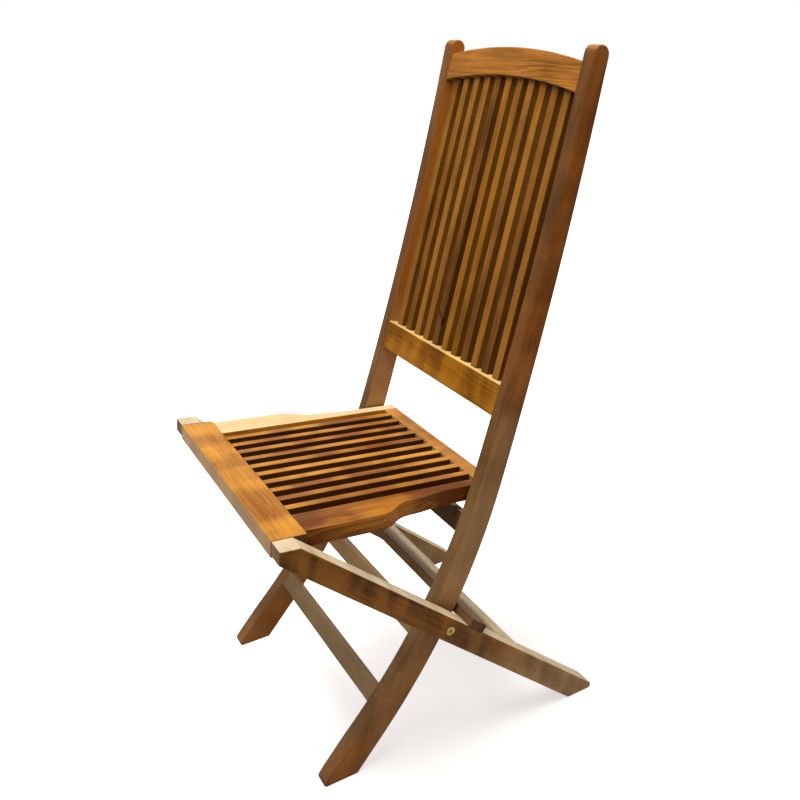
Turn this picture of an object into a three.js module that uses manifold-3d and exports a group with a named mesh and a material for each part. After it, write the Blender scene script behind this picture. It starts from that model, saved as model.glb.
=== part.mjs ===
// Folding slatted teak chair, in millimetres, +Z up, +X to the sitter's left, -Y in front of the chair.
// Side views are drawn as (y, z) with y measured back from the middle of the front feet.

import * as THREE from 'three';
import { mergeVertices } from 'three/addons/utils/BufferGeometryUtils.js';
import Module from 'manifold-3d';

const wasm = await Module();
wasm.setup();

// Driving sizes across the chair
const overallWidth = 488;
const legThickness = 32;
const washerThickness = 8.5;
const stileThickness = 25;

// Driving sizes of the bent stiles, measured along their middle line from the floor
const footLean = THREE.MathUtils.degToRad(42.5);
const waistLean = THREE.MathUtils.degToRad(19.6);
const topLean = THREE.MathUtils.degToRad(14.2);
const footStraight = 98.5;
const lowerBendRadius = 1036;
const upperLength = 649;
const stileFootWidth = 45.5;
const stileTopWidth = 26.5;
const toeRound = 5;

// Places along the stile's middle line
const stretcherAlong = 132.5;
const middleRailAlong = 256;
const pivotAlong = 289.9;
const pivotForward = 5;
const underSeatAlong = 438;
const seatHingeAlong = 490.2;
const seatHingeBack = 0.5;

// Driving sizes of the seat
const seatTilt = THREE.MathUtils.degToRad(6.1);
const seatThickness = 25.5;
const seatHingeDepth = 10;
const seatHingeReach = 350;
const seatTail = 33;
const boardDepth = 52;
const boardEndGap = 0.5;
const seatRailLegGap = 8.5;
const seatRailWaistLap = 1.5;
const seatRailStileGap = 6;
const seatRailTailWidth = 18.5;
const seatRailWideLength = 117;
const seatRailStepLength = 60;
const seatRailTaperLength = 72;
const seatRearRailDepth = 25;
const seatSlatCount = 10;
const seatSlatWidth = 12.5;
const seatSlatThickness = 20;

// Driving sizes of the rear legs and the two rails that join them
const legFrontWidth = 34;
const legRearWidth = 38.5;
const heelRound = 6;
const restPinDiameter = 8;
const restPinBack = 39;
const restPinDrop = 2.5;
const restPinReach = 15;
const restPinBury = 20;
const stopBarWidth = 34;
const stopBarThickness = 14.5;
const stopBarHousing = 2;
const stopBarGap = 3;
const legRailWidth = 38;
const legRailThickness = 20;
const legRailAlong = 133;

// Driving sizes of the back panel and of the three plain rails between the stiles
const backLean = THREE.MathUtils.degToRad(17);
const backPanelAlong = 612.5;
const backPanelForward = 15.6;
const backRailThickness = 21;
const lowerRailHeight = 52;
const backOpening = 439;
const crestHeight = 45;
const crestRise = 16;
const backSlatCount = 11;
const backSlatEndGap = 17.25;
const backSlatWidth = 16;
const backSlatThickness = 12.5;
const backSlatSetback = 7;
const plainRailHeight = 28;
const plainRailThickness = 16;
const underSeatHeight = 34;
const underSeatThickness = 12;
const plainRailSetback = 1;

// Joinery
const tenonLength = 16;
const tenonShoulder = 4;
const tenonShare = 0.5;
const housingDepth = 10;
const fitGap = 0.3;
const cutOverrun = 2;

// Edge rounding of the boards
const boardRound = 1.8;
const seatRound = 1.2;
const railRound = 2.6;
const slatRound = 1;

// Brass pivot hardware and steel pins
const boltDiameter = 8;
const boltHeadDiameter = 14;
const boltHeadThickness = 2.2;
const boltHeadProud = 0.8;
const boltSocketAcrossFlats = 5;
const boltSocketDepth = 3.5;
const insertDiameter = 12;
const insertLength = 20;
const washerDiameter = 20;
const seatPinDiameter = 8;
const seatPinBury = 18;
const seatPinReach = 12;

// Facets used on round stretches
const roundSteps = 2;
const circleSteps = 32;
const stileSteps = 44;
const crestSteps = 28;

// Places worked out from the driving sizes
const legOuter = overallWidth / 2;
const legInner = legOuter - legThickness;
const stileOuter = legInner - washerThickness;
const stileInner = stileOuter - stileThickness;
const seatRailWideOuter = legInner - seatRailLegGap;
const seatRailWaistOuter = stileInner + seatRailWaistLap;
const seatRailTailOuter = stileInner - seatRailStileGap;
const seatRailInner = seatRailTailOuter - seatRailTailWidth;
const backSlatPitch = (2 * (stileInner - backSlatEndGap) - backSlatWidth) / (backSlatCount - 1);
const lowerBendLength = lowerBendRadius * (footLean - waistLean);
const waistAlong = footStraight + lowerBendLength;
const stileLength = waistAlong + upperLength;
const upperBendRadius = upperLength / (waistLean - topLean);

// A point in a side view, and small sums with such points
const at = (y, z) => new THREE.Vector2(y, z);

// The two directions of a piece that is laid back from level by an angle: along it, and square to it
function alongAxis(lean) {
  return at(Math.cos(lean), -Math.sin(lean));
}

function normalAxis(lean) {
  return at(Math.sin(lean), Math.cos(lean));
}

// Moves a side-view point by distances along and square to a laid-back direction
function offset(point, lean, along, square) {
  return point.clone()
    .addScaledVector(alongAxis(lean), along)
    .addScaledVector(normalAxis(lean), square);
}

// Reads a side-view point in the frame of a laid-back piece whose origin is given
function inFrame(point, origin, lean) {
  const step = point.clone().sub(origin);
  return at(step.dot(alongAxis(lean)), step.dot(normalAxis(lean)));
}

// The middle line of a stile: a straight foot, a lower bend, then a slow upper bend
function stileLeanAt(along) {
  if (along <= footStraight) return footLean;
  if (along <= waistAlong) return footLean - (along - footStraight) / lowerBendRadius;
  return waistLean - (along - waistAlong) / upperBendRadius;
}

function bendStep(radius, fromLean, toLean) {
  return at(
    radius * (Math.cos(toLean) - Math.cos(fromLean)),
    radius * (Math.sin(fromLean) - Math.sin(toLean)),
  );
}

function stileMiddleAt(along) {
  const straight = Math.min(along, footStraight);
  const point = at(straight * Math.sin(footLean), straight * Math.cos(footLean));
  if (along > footStraight) {
    const lean = stileLeanAt(Math.min(along, waistAlong));
    point.add(bendStep(lowerBendRadius, footLean, lean));
  }
  if (along > waistAlong) {
    point.add(bendStep(upperBendRadius, waistLean, stileLeanAt(along)));
  }
  return point;
}

function stileWidthAt(along) {
  const share = THREE.MathUtils.clamp((along - footStraight) / (stileLength - footStraight), 0, 1);
  return THREE.MathUtils.lerp(stileFootWidth, stileTopWidth, share);
}

// A point on the stile's edge; side is -1 for the front edge and 1 for the rear edge
function stileEdgeAt(along, side) {
  return offset(stileMiddleAt(along), stileLeanAt(along), side * stileWidthAt(along) / 2, 0);
}

// Fixed points of the side view
const pivotPoint = offset(stileMiddleAt(pivotAlong), stileLeanAt(pivotAlong), -pivotForward, 0);
const seatHingePoint = offset(stileMiddleAt(seatHingeAlong), stileLeanAt(seatHingeAlong), seatHingeBack, 0);
const seatFrontTop = offset(seatHingePoint, seatTilt, -seatHingeReach, seatHingeDepth);
const seatFrontBottom = offset(seatFrontTop, seatTilt, 0, -seatThickness);
const restPinPoint = offset(
  seatFrontTop,
  seatTilt,
  restPinBack,
  -seatThickness - fitGap - restPinDiameter / 2,
);
const legAimPoint = offset(restPinPoint, seatTilt, 0, restPinDrop);
const legLean = Math.atan2(legAimPoint.y - pivotPoint.y, pivotPoint.x - legAimPoint.x);

// Materials
function teak(colour, roughness) {
  return new THREE.MeshStandardMaterial({ color: colour, roughness, metalness: 0 });
}

const stileTeak = () => teak(0x6e4526, 0.62);
const legTeak = () => teak(0x523318, 0.66);
const crestTeak = () => teak(0xb0713a, 0.55);
const lowRailTeak = () => teak(0x9c6427, 0.56);
const backSlatTeak = () => teak(0x80501f, 0.6);
const seatTeak = () => teak(0xc98b3f, 0.5);
const seatSideTeak = () => teak(0xb8763a, 0.52);
const underTeak = () => teak(0x5a3a1c, 0.68);
const brass = () => new THREE.MeshStandardMaterial({ color: 0xb29a4a, roughness: 0.35, metalness: 0.9 });
const steel = () => new THREE.MeshStandardMaterial({ color: 0x8d8d88, roughness: 0.4, metalness: 0.9 });

// Turns a geometry into a solid that can be cut, and back again
function toSolid(geometry) {
  const bare = geometry.clone();
  bare.deleteAttribute('normal');
  bare.deleteAttribute('uv');
  const merged = mergeVertices(bare);
  const vertProperties = new Float32Array(merged.attributes.position.array);
  const triVerts = new Uint32Array(merged.index.array);
  return new wasm.Manifold(new wasm.Mesh({ numProp: 3, vertProperties, triVerts }));
}

function toGeometry(solid) {
  const mesh = solid.getMesh();
  const geometry = new THREE.BufferGeometry();
  geometry.setAttribute('position', new THREE.BufferAttribute(mesh.vertProperties, 3));
  geometry.setIndex(new THREE.BufferAttribute(mesh.triVerts, 1));
  const split = geometry.toNonIndexed();
  split.computeVertexNormals();
  return split;
}

function cut(geometry, cutters) {
  let solid = toSolid(geometry);
  for (const cutter of cutters) solid = solid.subtract(toSolid(cutter));
  return toGeometry(solid);
}

function join(geometry, additions) {
  let solid = toSolid(geometry);
  for (const addition of additions) solid = solid.add(toSolid(addition));
  return toGeometry(solid);
}

// A board from an outline, with its edges rounded; the outline's own plane stays where it was drawn
function board(shape, thickness, round, curveSteps) {
  return new THREE.ExtrudeGeometry(shape, {
    depth: thickness - 2 * round,
    bevelThickness: round,
    bevelSize: round,
    bevelOffset: -round,
    bevelSegments: roundSteps,
    curveSegments: curveSteps,
  }).translate(0, 0, round);
}

// A board drawn in side view (y, z) that reaches from x = from over its thickness
function sideBoard(shape, from, thickness, round) {
  return toSideView(board(shape, thickness, round, roundSteps * 2)).translate(from, 0, 0);
}

// Turns a drawing's plane into the side view, and its thickness into the chair's width
function toSideView(geometry) {
  return geometry.applyMatrix4(new THREE.Matrix4().makeBasis(
    new THREE.Vector3(0, 1, 0),
    new THREE.Vector3(0, 0, 1),
    new THREE.Vector3(1, 0, 0),
  ));
}

// A plain block from its lowest to its highest corner
function block(x0, x1, y0, y1, z0, z1) {
  return new THREE.BoxGeometry(x1 - x0, y1 - y0, z1 - z0)
    .translate((x0 + x1) / 2, (y0 + y1) / 2, (z0 + z1) / 2);
}

// A section with rounded corners and its middle at the origin of the drawing
function section(width, height, round) {
  const across = width / 2 - round;
  const up = height / 2 - round;
  const shape = new THREE.Shape();
  shape.absarc(across, -up, round, -Math.PI / 2, 0, false);
  shape.absarc(across, up, round, 0, Math.PI / 2, false);
  shape.absarc(-across, up, round, Math.PI / 2, Math.PI, false);
  shape.absarc(-across, -up, round, Math.PI, Math.PI * 3 / 2, false);
  shape.closePath();
  return shape;
}

// A stick of one section, from the drawing's plane along its length
function stick(shape, length) {
  return new THREE.ExtrudeGeometry(shape, {
    depth: length,
    bevelEnabled: false,
    curveSegments: roundSteps + 1,
  });
}

// Adds a line towards a corner of an outline and an arc that rounds it
function roundCorner(shape, before, corner, after, radius) {
  const back = before.clone().sub(corner).normalize();
  const ahead = after.clone().sub(corner).normalize();
  const half = back.angleTo(ahead) / 2;
  const start = corner.clone().addScaledVector(back, radius / Math.tan(half));
  const end = corner.clone().addScaledVector(ahead, radius / Math.tan(half));
  const inward = back.clone().add(ahead).normalize();
  const middle = corner.clone().addScaledVector(inward, radius / Math.sin(half));
  const from = start.clone().sub(middle).angle();
  const to = end.clone().sub(middle).angle();
  shape.lineTo(start.x, start.y);
  shape.absarc(middle.x, middle.y, radius, from, to, back.cross(ahead) > 0);
}

// A round bar along X between two places
function roundBar(x0, x1, diameter) {
  return new THREE.CylinderGeometry(diameter / 2, diameter / 2, x1 - x0, circleSteps)
    .rotateZ(-Math.PI / 2)
    .translate((x0 + x1) / 2, 0, 0);
}

// Lays a cutter back by a lean and moves it to a place in the side view
function placed(geometry, point, lean) {
  return geometry.clone().rotateX(-lean).translate(0, point.x, point.y);
}

function mirrored(geometry) {
  const copy = geometry.clone().scale(-1, 1, 1);
  const index = copy.index ? copy.toNonIndexed() : copy;
  const places = index.attributes.position;
  for (let corner = 0; corner < places.count; corner += 3) {
    const first = new THREE.Vector3().fromBufferAttribute(places, corner);
    const last = new THREE.Vector3().fromBufferAttribute(places, corner + 2);
    places.setXYZ(corner, last.x, last.y, last.z);
    places.setXYZ(corner + 2, first.x, first.y, first.z);
  }
  index.computeVertexNormals();
  return index;
}

function mesh(name, geometry, material) {
  const piece = new THREE.Mesh(geometry, material);
  piece.name = name;
  return piece;
}

// The left piece and its mirror image on the right
function addPair(group, name, geometry, material) {
  group.add(mesh(`${name}_left`, geometry, material()));
  group.add(mesh(`${name}_right`, mirrored(geometry), material()));
}

// A group laid back by an angle at a side-view point
function laidGroup(name, point, lean) {
  const group = new THREE.Group();
  group.name = name;
  group.position.set(0, point.x, point.y);
  group.rotation.x = -lean;
  return group;
}

// The tenon of a rail that is height tall and thick deep, and the mortise it fits
function tenonHeight(height) {
  return height - 2 * tenonShoulder;
}

function tenonThickness(thick) {
  return thick * tenonShare;
}

function tenonBlock(face, thick, height, spare) {
  return block(
    face - cutOverrun,
    face + tenonLength + spare,
    -tenonThickness(thick) / 2 - spare,
    tenonThickness(thick) / 2 + spare,
    -tenonHeight(height) / 2 - spare,
    tenonHeight(height) / 2 + spare,
  );
}

// A straight rail along X between two faces, with a tenon at each end; drawn about its own middle
function tenonedRail(face, thick, height, round) {
  const body = toSideView(stick(section(thick, height, round), 2 * face)).translate(-face, 0, 0);
  const tenon = tenonBlock(face, thick, height, 0);
  return join(body, [tenon, mirrored(tenon)]);
}

// Outline of a stile in side view: flat sole, rounded toe, bent edges and a round top
function stileOutline() {
  const soleShift = stileFootWidth / 2 * Math.tan(footLean);
  const shape = new THREE.Shape();
  const heel = stileEdgeAt(soleShift, 1);
  const toe = stileEdgeAt(-soleShift, -1);
  shape.moveTo(heel.x, heel.y);
  roundCorner(shape, heel, toe, stileEdgeAt(0, -1), toeRound);
  for (let step = 1; step <= stileSteps; step += 1) {
    const point = stileEdgeAt(THREE.MathUtils.lerp(-soleShift, stileLength, step / stileSteps), -1);
    shape.lineTo(point.x, point.y);
  }
  const crown = stileMiddleAt(stileLength);
  shape.absarc(crown.x, crown.y, stileTopWidth / 2, Math.PI - topLean, -topLean, true);
  for (let step = 1; step < stileSteps; step += 1) {
    const point = stileEdgeAt(THREE.MathUtils.lerp(stileLength, soleShift, step / stileSteps), 1);
    shape.lineTo(point.x, point.y);
  }
  shape.closePath();
  return shape;
}

// Middles of the rails in the stile, as {point, lean, thick, height}
function backRailMiddle(up) {
  const base = stileMiddleAt(backPanelAlong);
  const square = backRailThickness / 2 - backPanelForward;
  return offset(base, backLean, square, up);
}

const crestBottomUp = lowerRailHeight + backOpening;

// A plain rail's seat: its front is set back a little from the stile's front edge
function plainSeat(along, thick, height) {
  const back = plainRailSetback + thick / 2 - stileWidthAt(along) / 2;
  const lean = stileLeanAt(along);
  return { point: offset(stileMiddleAt(along), lean, back, 0), lean, thick, height };
}

function panelSeat(up, height) {
  return { point: backRailMiddle(up), lean: backLean, thick: backRailThickness, height };
}

function railSeats() {
  return {
    stretcher: plainSeat(stretcherAlong, plainRailThickness, plainRailHeight),
    middle: plainSeat(middleRailAlong, plainRailThickness, plainRailHeight),
    underSeat: plainSeat(underSeatAlong, underSeatThickness, underSeatHeight),
    lowerBack: panelSeat(lowerRailHeight / 2, lowerRailHeight),
    crest: panelSeat(crestBottomUp + crestHeight / 2, crestHeight),
  };
}

const seats = railSeats();

// One stile with the mortises of its rails, the bore of the brass insert and the bore of the seat pin
function stileGeometry() {
  const body = sideBoard(stileOutline(), stileInner, stileThickness, boardRound);
  const mortises = Object.values(seats).map((seat) => placed(
    tenonBlock(stileInner, seat.thick, seat.height, fitGap),
    seat.point,
    seat.lean,
  ));
  const insertBore = placed(
    roundBar(stileOuter - insertLength - fitGap, stileOuter + cutOverrun, insertDiameter + 2 * fitGap),
    pivotPoint,
    0,
  );
  const pinBore = placed(
    roundBar(stileInner - cutOverrun, stileInner + seatPinBury + fitGap, seatPinDiameter + 2 * fitGap),
    seatHingePoint,
    0,
  );
  return cut(body, [...mortises, insertBore, pinBore]);
}

// A plain rail between the stiles, in its own laid-back group
function plainRail(name, seat, material) {
  const group = laidGroup(`${name}_place`, seat.point, seat.lean);
  group.add(mesh(name, tenonedRail(stileInner, seat.thick, seat.height, railRound), material()));
  return group;
}

// Height of the arched lower edge of the crest rail above its ends
function archAt(x) {
  const radius = (stileInner * stileInner + crestRise * crestRise) / (2 * crestRise);
  return Math.sqrt(radius * radius - x * x) - (radius - crestRise);
}

// Crest rail outline seen from the front, in (x, up), with both long edges arched
function crestOutline() {
  const shape = new THREE.Shape();
  const xAt = (step) => THREE.MathUtils.lerp(-stileInner, stileInner, step / crestSteps);
  shape.moveTo(-stileInner, 0);
  for (let step = 1; step <= crestSteps; step += 1) shape.lineTo(xAt(step), archAt(xAt(step)));
  for (let step = crestSteps; step >= 0; step -= 1) {
    shape.lineTo(xAt(step), archAt(xAt(step)) + crestHeight);
  }
  shape.closePath();
  return shape;
}

const backSlatX = (index) => (index - (backSlatCount - 1) / 2) * backSlatPitch;
const backSlatMiddle = backSlatSetback + backSlatThickness / 2;

// The pocket of one back slat; low and high are heights up the panel
function backSlatPocket(x, low, high) {
  return block(
    x - backSlatWidth / 2 - fitGap,
    x + backSlatWidth / 2 + fitGap,
    backSlatMiddle - backSlatThickness / 2 - fitGap,
    backSlatMiddle + backSlatThickness / 2 + fitGap,
    low,
    high,
  );
}

// A board drawn from the front in (x, up) that reaches back from the panel's front face
function frontBoard(shape, thickness, round) {
  return board(shape, thickness, round, crestSteps).rotateX(Math.PI / 2).translate(0, thickness, 0);
}

function crestRail() {
  const body = frontBoard(crestOutline(), backRailThickness, boardRound).translate(0, 0, crestBottomUp);
  const tenon = tenonBlock(stileInner, backRailThickness, crestHeight, 0)
    .translate(0, backRailThickness / 2, crestBottomUp + crestHeight / 2);
  const pockets = [];
  for (let index = 0; index < backSlatCount; index += 1) {
    const x = backSlatX(index);
    const edge = crestBottomUp + archAt(x);
    pockets.push(backSlatPocket(x, edge - crestRise, edge + housingDepth + fitGap));
  }
  return cut(join(body, [tenon, mirrored(tenon)]), pockets);
}

function lowerBackRail() {
  const body = tenonedRail(stileInner, backRailThickness, lowerRailHeight, railRound)
    .translate(0, backRailThickness / 2, lowerRailHeight / 2);
  const pockets = [];
  for (let index = 0; index < backSlatCount; index += 1) {
    const low = lowerRailHeight - housingDepth - fitGap;
    pockets.push(backSlatPocket(backSlatX(index), low, lowerRailHeight + cutOverrun));
  }
  return cut(body, pockets);
}

// A slat that stands up the panel
function backSlat(length) {
  return stick(section(backSlatWidth, backSlatThickness, slatRound), length);
}

function twoFigures(index) {
  return String(index + 1).padStart(2, '0');
}

// The back panel: lower rail, crest rail and slats in one laid-back plane
function backPanel() {
  const origin = offset(stileMiddleAt(backPanelAlong), backLean, -backPanelForward, 0);
  const group = laidGroup('back_panel', origin, backLean);
  group.add(mesh('crest_rail', crestRail(), crestTeak()));
  group.add(mesh('lower_back_rail', lowerBackRail(), lowRailTeak()));
  const foot = lowerRailHeight - housingDepth;
  for (let index = 0; index < backSlatCount; index += 1) {
    const x = backSlatX(index);
    const arch = Math.min(archAt(x - backSlatWidth / 2), archAt(x + backSlatWidth / 2));
    const head = crestBottomUp + arch + housingDepth;
    const slat = mesh(`back_slat_${twoFigures(index)}`, backSlat(head - foot), backSlatTeak());
    slat.position.set(x, backSlatMiddle, foot);
    group.add(slat);
  }
  return group;
}

// Pivot hardware on the left side, along X through the pivot point
function boltGeometry() {
  const headStart = legOuter + boltHeadProud - boltHeadThickness;
  const tip = stileOuter - insertLength + fitGap;
  const head = roundBar(headStart, legOuter + boltHeadProud, boltHeadDiameter);
  const shank = roundBar(tip, headStart + boltHeadThickness / 2, boltDiameter);
  const socketRadius = boltSocketAcrossFlats / Math.sqrt(3);
  const socketEnd = legOuter + boltHeadProud;
  const socket = new THREE.CylinderGeometry(
    socketRadius,
    socketRadius,
    boltSocketDepth + cutOverrun,
    6,
  ).rotateZ(-Math.PI / 2).translate(socketEnd + (cutOverrun - boltSocketDepth) / 2, 0, 0);
  return cut(join(shank, [head]), [socket]);
}

// A plain ring along X with a bore
function ring(x0, x1, outer, inner) {
  const shape = new THREE.Shape();
  shape.absarc(0, 0, outer / 2, 0, Math.PI * 2, false);
  const hole = new THREE.Path();
  hole.absarc(0, 0, inner / 2, 0, Math.PI * 2, true);
  shape.holes.push(hole);
  return new THREE.ExtrudeGeometry(shape, {
    depth: x1 - x0,
    bevelEnabled: false,
    curveSegments: circleSteps,
  }).rotateY(Math.PI / 2).translate(x0, 0, 0);
}

function pivotHardware() {
  const group = laidGroup('pivot_hardware', pivotPoint, 0);
  const bore = boltDiameter + 2 * fitGap;
  const insert = ring(stileOuter - insertLength, stileOuter, insertDiameter, bore);
  const washer = ring(stileOuter, legInner, washerDiameter, bore);
  addPair(group, 'pivot_bolt', boltGeometry(), brass);
  addPair(group, 'pivot_insert', insert, brass);
  addPair(group, 'pivot_washer', washer, brass);
  return group;
}

function seatPins() {
  const group = laidGroup('seat_hinge_pins', seatHingePoint, 0);
  const pin = roundBar(seatRailTailOuter - seatPinReach, stileInner + seatPinBury, seatPinDiameter);
  addPair(group, 'seat_hinge_pin', pin, steel);
  return group;
}

// The back frame: stiles, rails, back panel and the hardware that stays with them
function backFrame() {
  const group = new THREE.Group();
  group.name = 'back_frame';
  addPair(group, 'stile', stileGeometry(), stileTeak);
  group.add(plainRail('front_stretcher', seats.stretcher, stileTeak));
  group.add(plainRail('middle_rail', seats.middle, underTeak));
  group.add(plainRail('under_seat_rail', seats.underSeat, underTeak));
  group.add(backPanel());
  group.add(pivotHardware());
  group.add(seatPins());
  return group;
}

// The rear legs are drawn in their own frame, with the pivot at its origin
const legFrontReach = inFrame(seatFrontBottom, pivotPoint, legLean).x;
const legRearReach = pivotPoint.y / Math.sin(legLean);

const legTaper = (legRearWidth - legFrontWidth) / (legRearReach - legFrontReach);

function legHalfWidthAt(along) {
  return (legFrontWidth + legTaper * (along - legFrontReach)) / 2;
}

// Where a leg edge meets a straight line through two points; side is 1 for the top edge
function legEdgeMeets(first, second, side) {
  const step = second.clone().sub(first);
  const share = (side * legHalfWidthAt(first.x) - first.y) / (step.y - side * legTaper / 2 * step.x);
  return first.clone().addScaledVector(step, share);
}

// Leg outline: flush with the seat's top and front at one end, cut level with the floor at the other
function legOutline() {
  const frontTop = inFrame(seatFrontTop, pivotPoint, legLean);
  const seatBack = inFrame(offset(seatFrontTop, seatTilt, boardDepth, 0), pivotPoint, legLean);
  const frontBottom = inFrame(seatFrontBottom, pivotPoint, legLean);
  const floorFront = inFrame(at(pivotPoint.x, 0), pivotPoint, legLean);
  const floorRear = inFrame(at(pivotPoint.x + legRearReach, 0), pivotPoint, legLean);
  const topMeet = legEdgeMeets(frontTop, seatBack, 1);
  const bottomMeet = legEdgeMeets(frontTop, frontBottom, -1);
  const sole = legEdgeMeets(floorFront, floorRear, -1);
  const heel = legEdgeMeets(floorFront, floorRear, 1);
  const shape = new THREE.Shape();
  shape.moveTo(frontTop.x, frontTop.y);
  shape.lineTo(bottomMeet.x, bottomMeet.y);
  shape.lineTo(sole.x, sole.y);
  roundCorner(shape, sole, heel, topMeet, heelRound);
  shape.lineTo(topMeet.x, topMeet.y);
  shape.closePath();
  return shape;
}

// The stop bar's near edge stands just behind the stiles' rear edges
function stopBarStart() {
  const low = legHalfWidthAt(0) - stopBarHousing;
  const turn = legLean - stileLeanAt(pivotAlong);
  const rearEdge = stileWidthAt(pivotAlong) / 2 + pivotForward;
  return (rearEdge + stopBarGap - low * Math.sin(turn)) / Math.cos(turn);
}

function legGeometry() {
  const body = sideBoard(legOutline(), legInner, legThickness, boardRound);
  const boltBore = roundBar(legInner - cutOverrun, legOuter + cutOverrun, boltDiameter + 2 * fitGap);
  const headBore = roundBar(
    legOuter + boltHeadProud - boltHeadThickness - fitGap,
    legOuter + cutOverrun,
    boltHeadDiameter + 2 * fitGap,
  );
  const start = stopBarStart();
  const barBottom = legHalfWidthAt(start) - stopBarHousing;
  const barHousing = block(
    legInner - cutOverrun,
    legOuter + cutOverrun,
    start - fitGap,
    start + stopBarWidth + fitGap,
    barBottom - fitGap,
    barBottom + stopBarThickness,
  );
  const railMiddle = legRailMiddle();
  const railMortise = tenonBlock(legInner, legRailWidth, legRailThickness, fitGap)
    .translate(0, railMiddle.x, railMiddle.y);
  const pinPlace = inFrame(restPinPoint, pivotPoint, legLean);
  const pinBore = roundBar(legInner - cutOverrun, legInner + restPinBury + fitGap, restPinDiameter + 2 * fitGap)
    .translate(0, pinPlace.x, pinPlace.y);
  return cut(body, [boltBore, headBore, barHousing, railMortise, pinBore]);
}

// Middle of the rail between the legs; its top is flush with their top edges
function legRailMiddle() {
  const middle = legRailAlong + legRailWidth / 2;
  return at(middle, legHalfWidthAt(middle) - legRailThickness / 2);
}

function legRail() {
  const place = legRailMiddle();
  return tenonedRail(legInner, legRailWidth, legRailThickness, railRound).translate(0, place.x, place.y);
}

function stopBar() {
  const start = stopBarStart();
  const bottom = legHalfWidthAt(start) - stopBarHousing;
  return sideBoard(section(stopBarWidth, stopBarThickness, railRound), -legOuter, overallWidth, boardRound)
    .translate(0, start + stopBarWidth / 2, bottom + stopBarThickness / 2);
}

// The rear leg frame turns as one about the pivot
function legFrame() {
  const group = laidGroup('leg_frame', pivotPoint, legLean);
  addPair(group, 'rear_leg', legGeometry(), legTeak);
  group.add(mesh('stop_bar', stopBar(), legTeak()));
  group.add(mesh('leg_cross_rail', legRail(), legTeak()));
  const pinPlace = inFrame(restPinPoint, pivotPoint, legLean);
  const pin = roundBar(legInner - restPinReach, legInner + restPinBury, restPinDiameter)
    .translate(0, pinPlace.x, pinPlace.y);
  addPair(group, 'seat_rest_pin', pin, steel);
  return group;
}

// The seat is drawn in its own frame, with the hinge at its origin and its top above it
const seatTop = seatHingeDepth;
const seatBottom = seatHingeDepth - seatThickness;
const boardBack = boardDepth - seatHingeReach;
const seatSlatGap = (2 * seatRailInner - seatSlatCount * seatSlatWidth) / (seatSlatCount + 1);
const seatSlatX = (index) => -seatRailInner + seatSlatGap
  + seatSlatWidth / 2 + index * (seatSlatWidth + seatSlatGap);
const seatMiddleZ = (seatTop + seatBottom) / 2;

// A seat piece drawn from above in (x, y); its top is the seat's top
function planBoard(shape, thickness, round) {
  return board(shape, thickness, round, roundSteps * 4).translate(0, 0, seatTop - thickness);
}

function seatTenonX() {
  return (seatRailInner + seatRailWideOuter) / 2;
}

function seatTenonHalf() {
  return (seatRailWideOuter - seatRailInner) / 2 - tenonShoulder;
}

function seatTenon(spare) {
  return block(
    seatTenonX() - seatTenonHalf() - spare,
    seatTenonX() + seatTenonHalf() + spare,
    boardBack - tenonLength - spare,
    boardBack + cutOverrun,
    seatMiddleZ - tenonThickness(seatThickness) / 2 - spare,
    seatMiddleZ + tenonThickness(seatThickness) / 2 + spare,
  );
}

// The pocket of one seat slat between two places along the seat
function seatSlatPocket(x, y0, y1) {
  return block(
    x - seatSlatWidth / 2 - fitGap,
    x + seatSlatWidth / 2 + fitGap,
    y0,
    y1,
    seatTop - seatSlatThickness - fitGap,
    seatTop - seatSlatShoulder() + fitGap,
  );
}

// Slat ends are stepped down under the top of the rails they enter
function seatSlatShoulder() {
  return tenonShoulder;
}

function seatFrontBoard() {
  const half = legInner - boardEndGap;
  const shape = new THREE.Shape();
  shape.moveTo(-half, -seatHingeReach);
  shape.lineTo(half, -seatHingeReach);
  shape.lineTo(half, boardBack);
  shape.lineTo(-half, boardBack);
  shape.closePath();
  const tenon = seatTenon(fitGap);
  const pockets = [];
  for (let index = 0; index < seatSlatCount; index += 1) {
    const inner = boardBack - housingDepth - fitGap;
    pockets.push(seatSlatPocket(seatSlatX(index), inner, boardBack + cutOverrun));
  }
  return cut(planBoard(shape, seatThickness, seatRound), [tenon, mirrored(tenon), ...pockets]);
}

// Side rail from above: wide beside the board, stepping in, then narrow where it passes between the stiles
function seatSideOutline() {
  const stepStart = boardBack + seatRailWideLength;
  const stepEnd = stepStart + seatRailStepLength;
  const taperEnd = stepEnd + seatRailTaperLength;
  const shape = new THREE.Shape();
  shape.moveTo(seatRailInner, boardBack);
  shape.lineTo(seatRailWideOuter, boardBack);
  shape.lineTo(seatRailWideOuter, stepStart);
  shape.bezierCurveTo(
    seatRailWideOuter,
    stepStart + seatRailStepLength / 2,
    seatRailWaistOuter,
    stepEnd - seatRailStepLength / 2,
    seatRailWaistOuter,
    stepEnd,
  );
  shape.bezierCurveTo(
    seatRailWaistOuter,
    stepEnd + seatRailTaperLength / 3,
    seatRailTailOuter,
    taperEnd - seatRailTaperLength / 3,
    seatRailTailOuter,
    taperEnd,
  );
  shape.lineTo(seatRailTailOuter, seatTail);
  shape.lineTo(seatRailInner, seatTail);
  shape.closePath();
  return shape;
}

const rearRailMiddleY = seatTail - seatRearRailDepth / 2;
const rearTenonLength = (seatRailTailOuter - seatRailInner) / 2;

function rearRailTenon(spare) {
  return block(
    seatRailInner - cutOverrun,
    seatRailInner + rearTenonLength + spare,
    rearRailMiddleY - tenonThickness(seatRearRailDepth) / 2 - spare,
    rearRailMiddleY + tenonThickness(seatRearRailDepth) / 2 + spare,
    seatMiddleZ - tenonThickness(seatThickness) / 2 - spare,
    seatMiddleZ + tenonThickness(seatThickness) / 2 + spare,
  );
}

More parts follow.
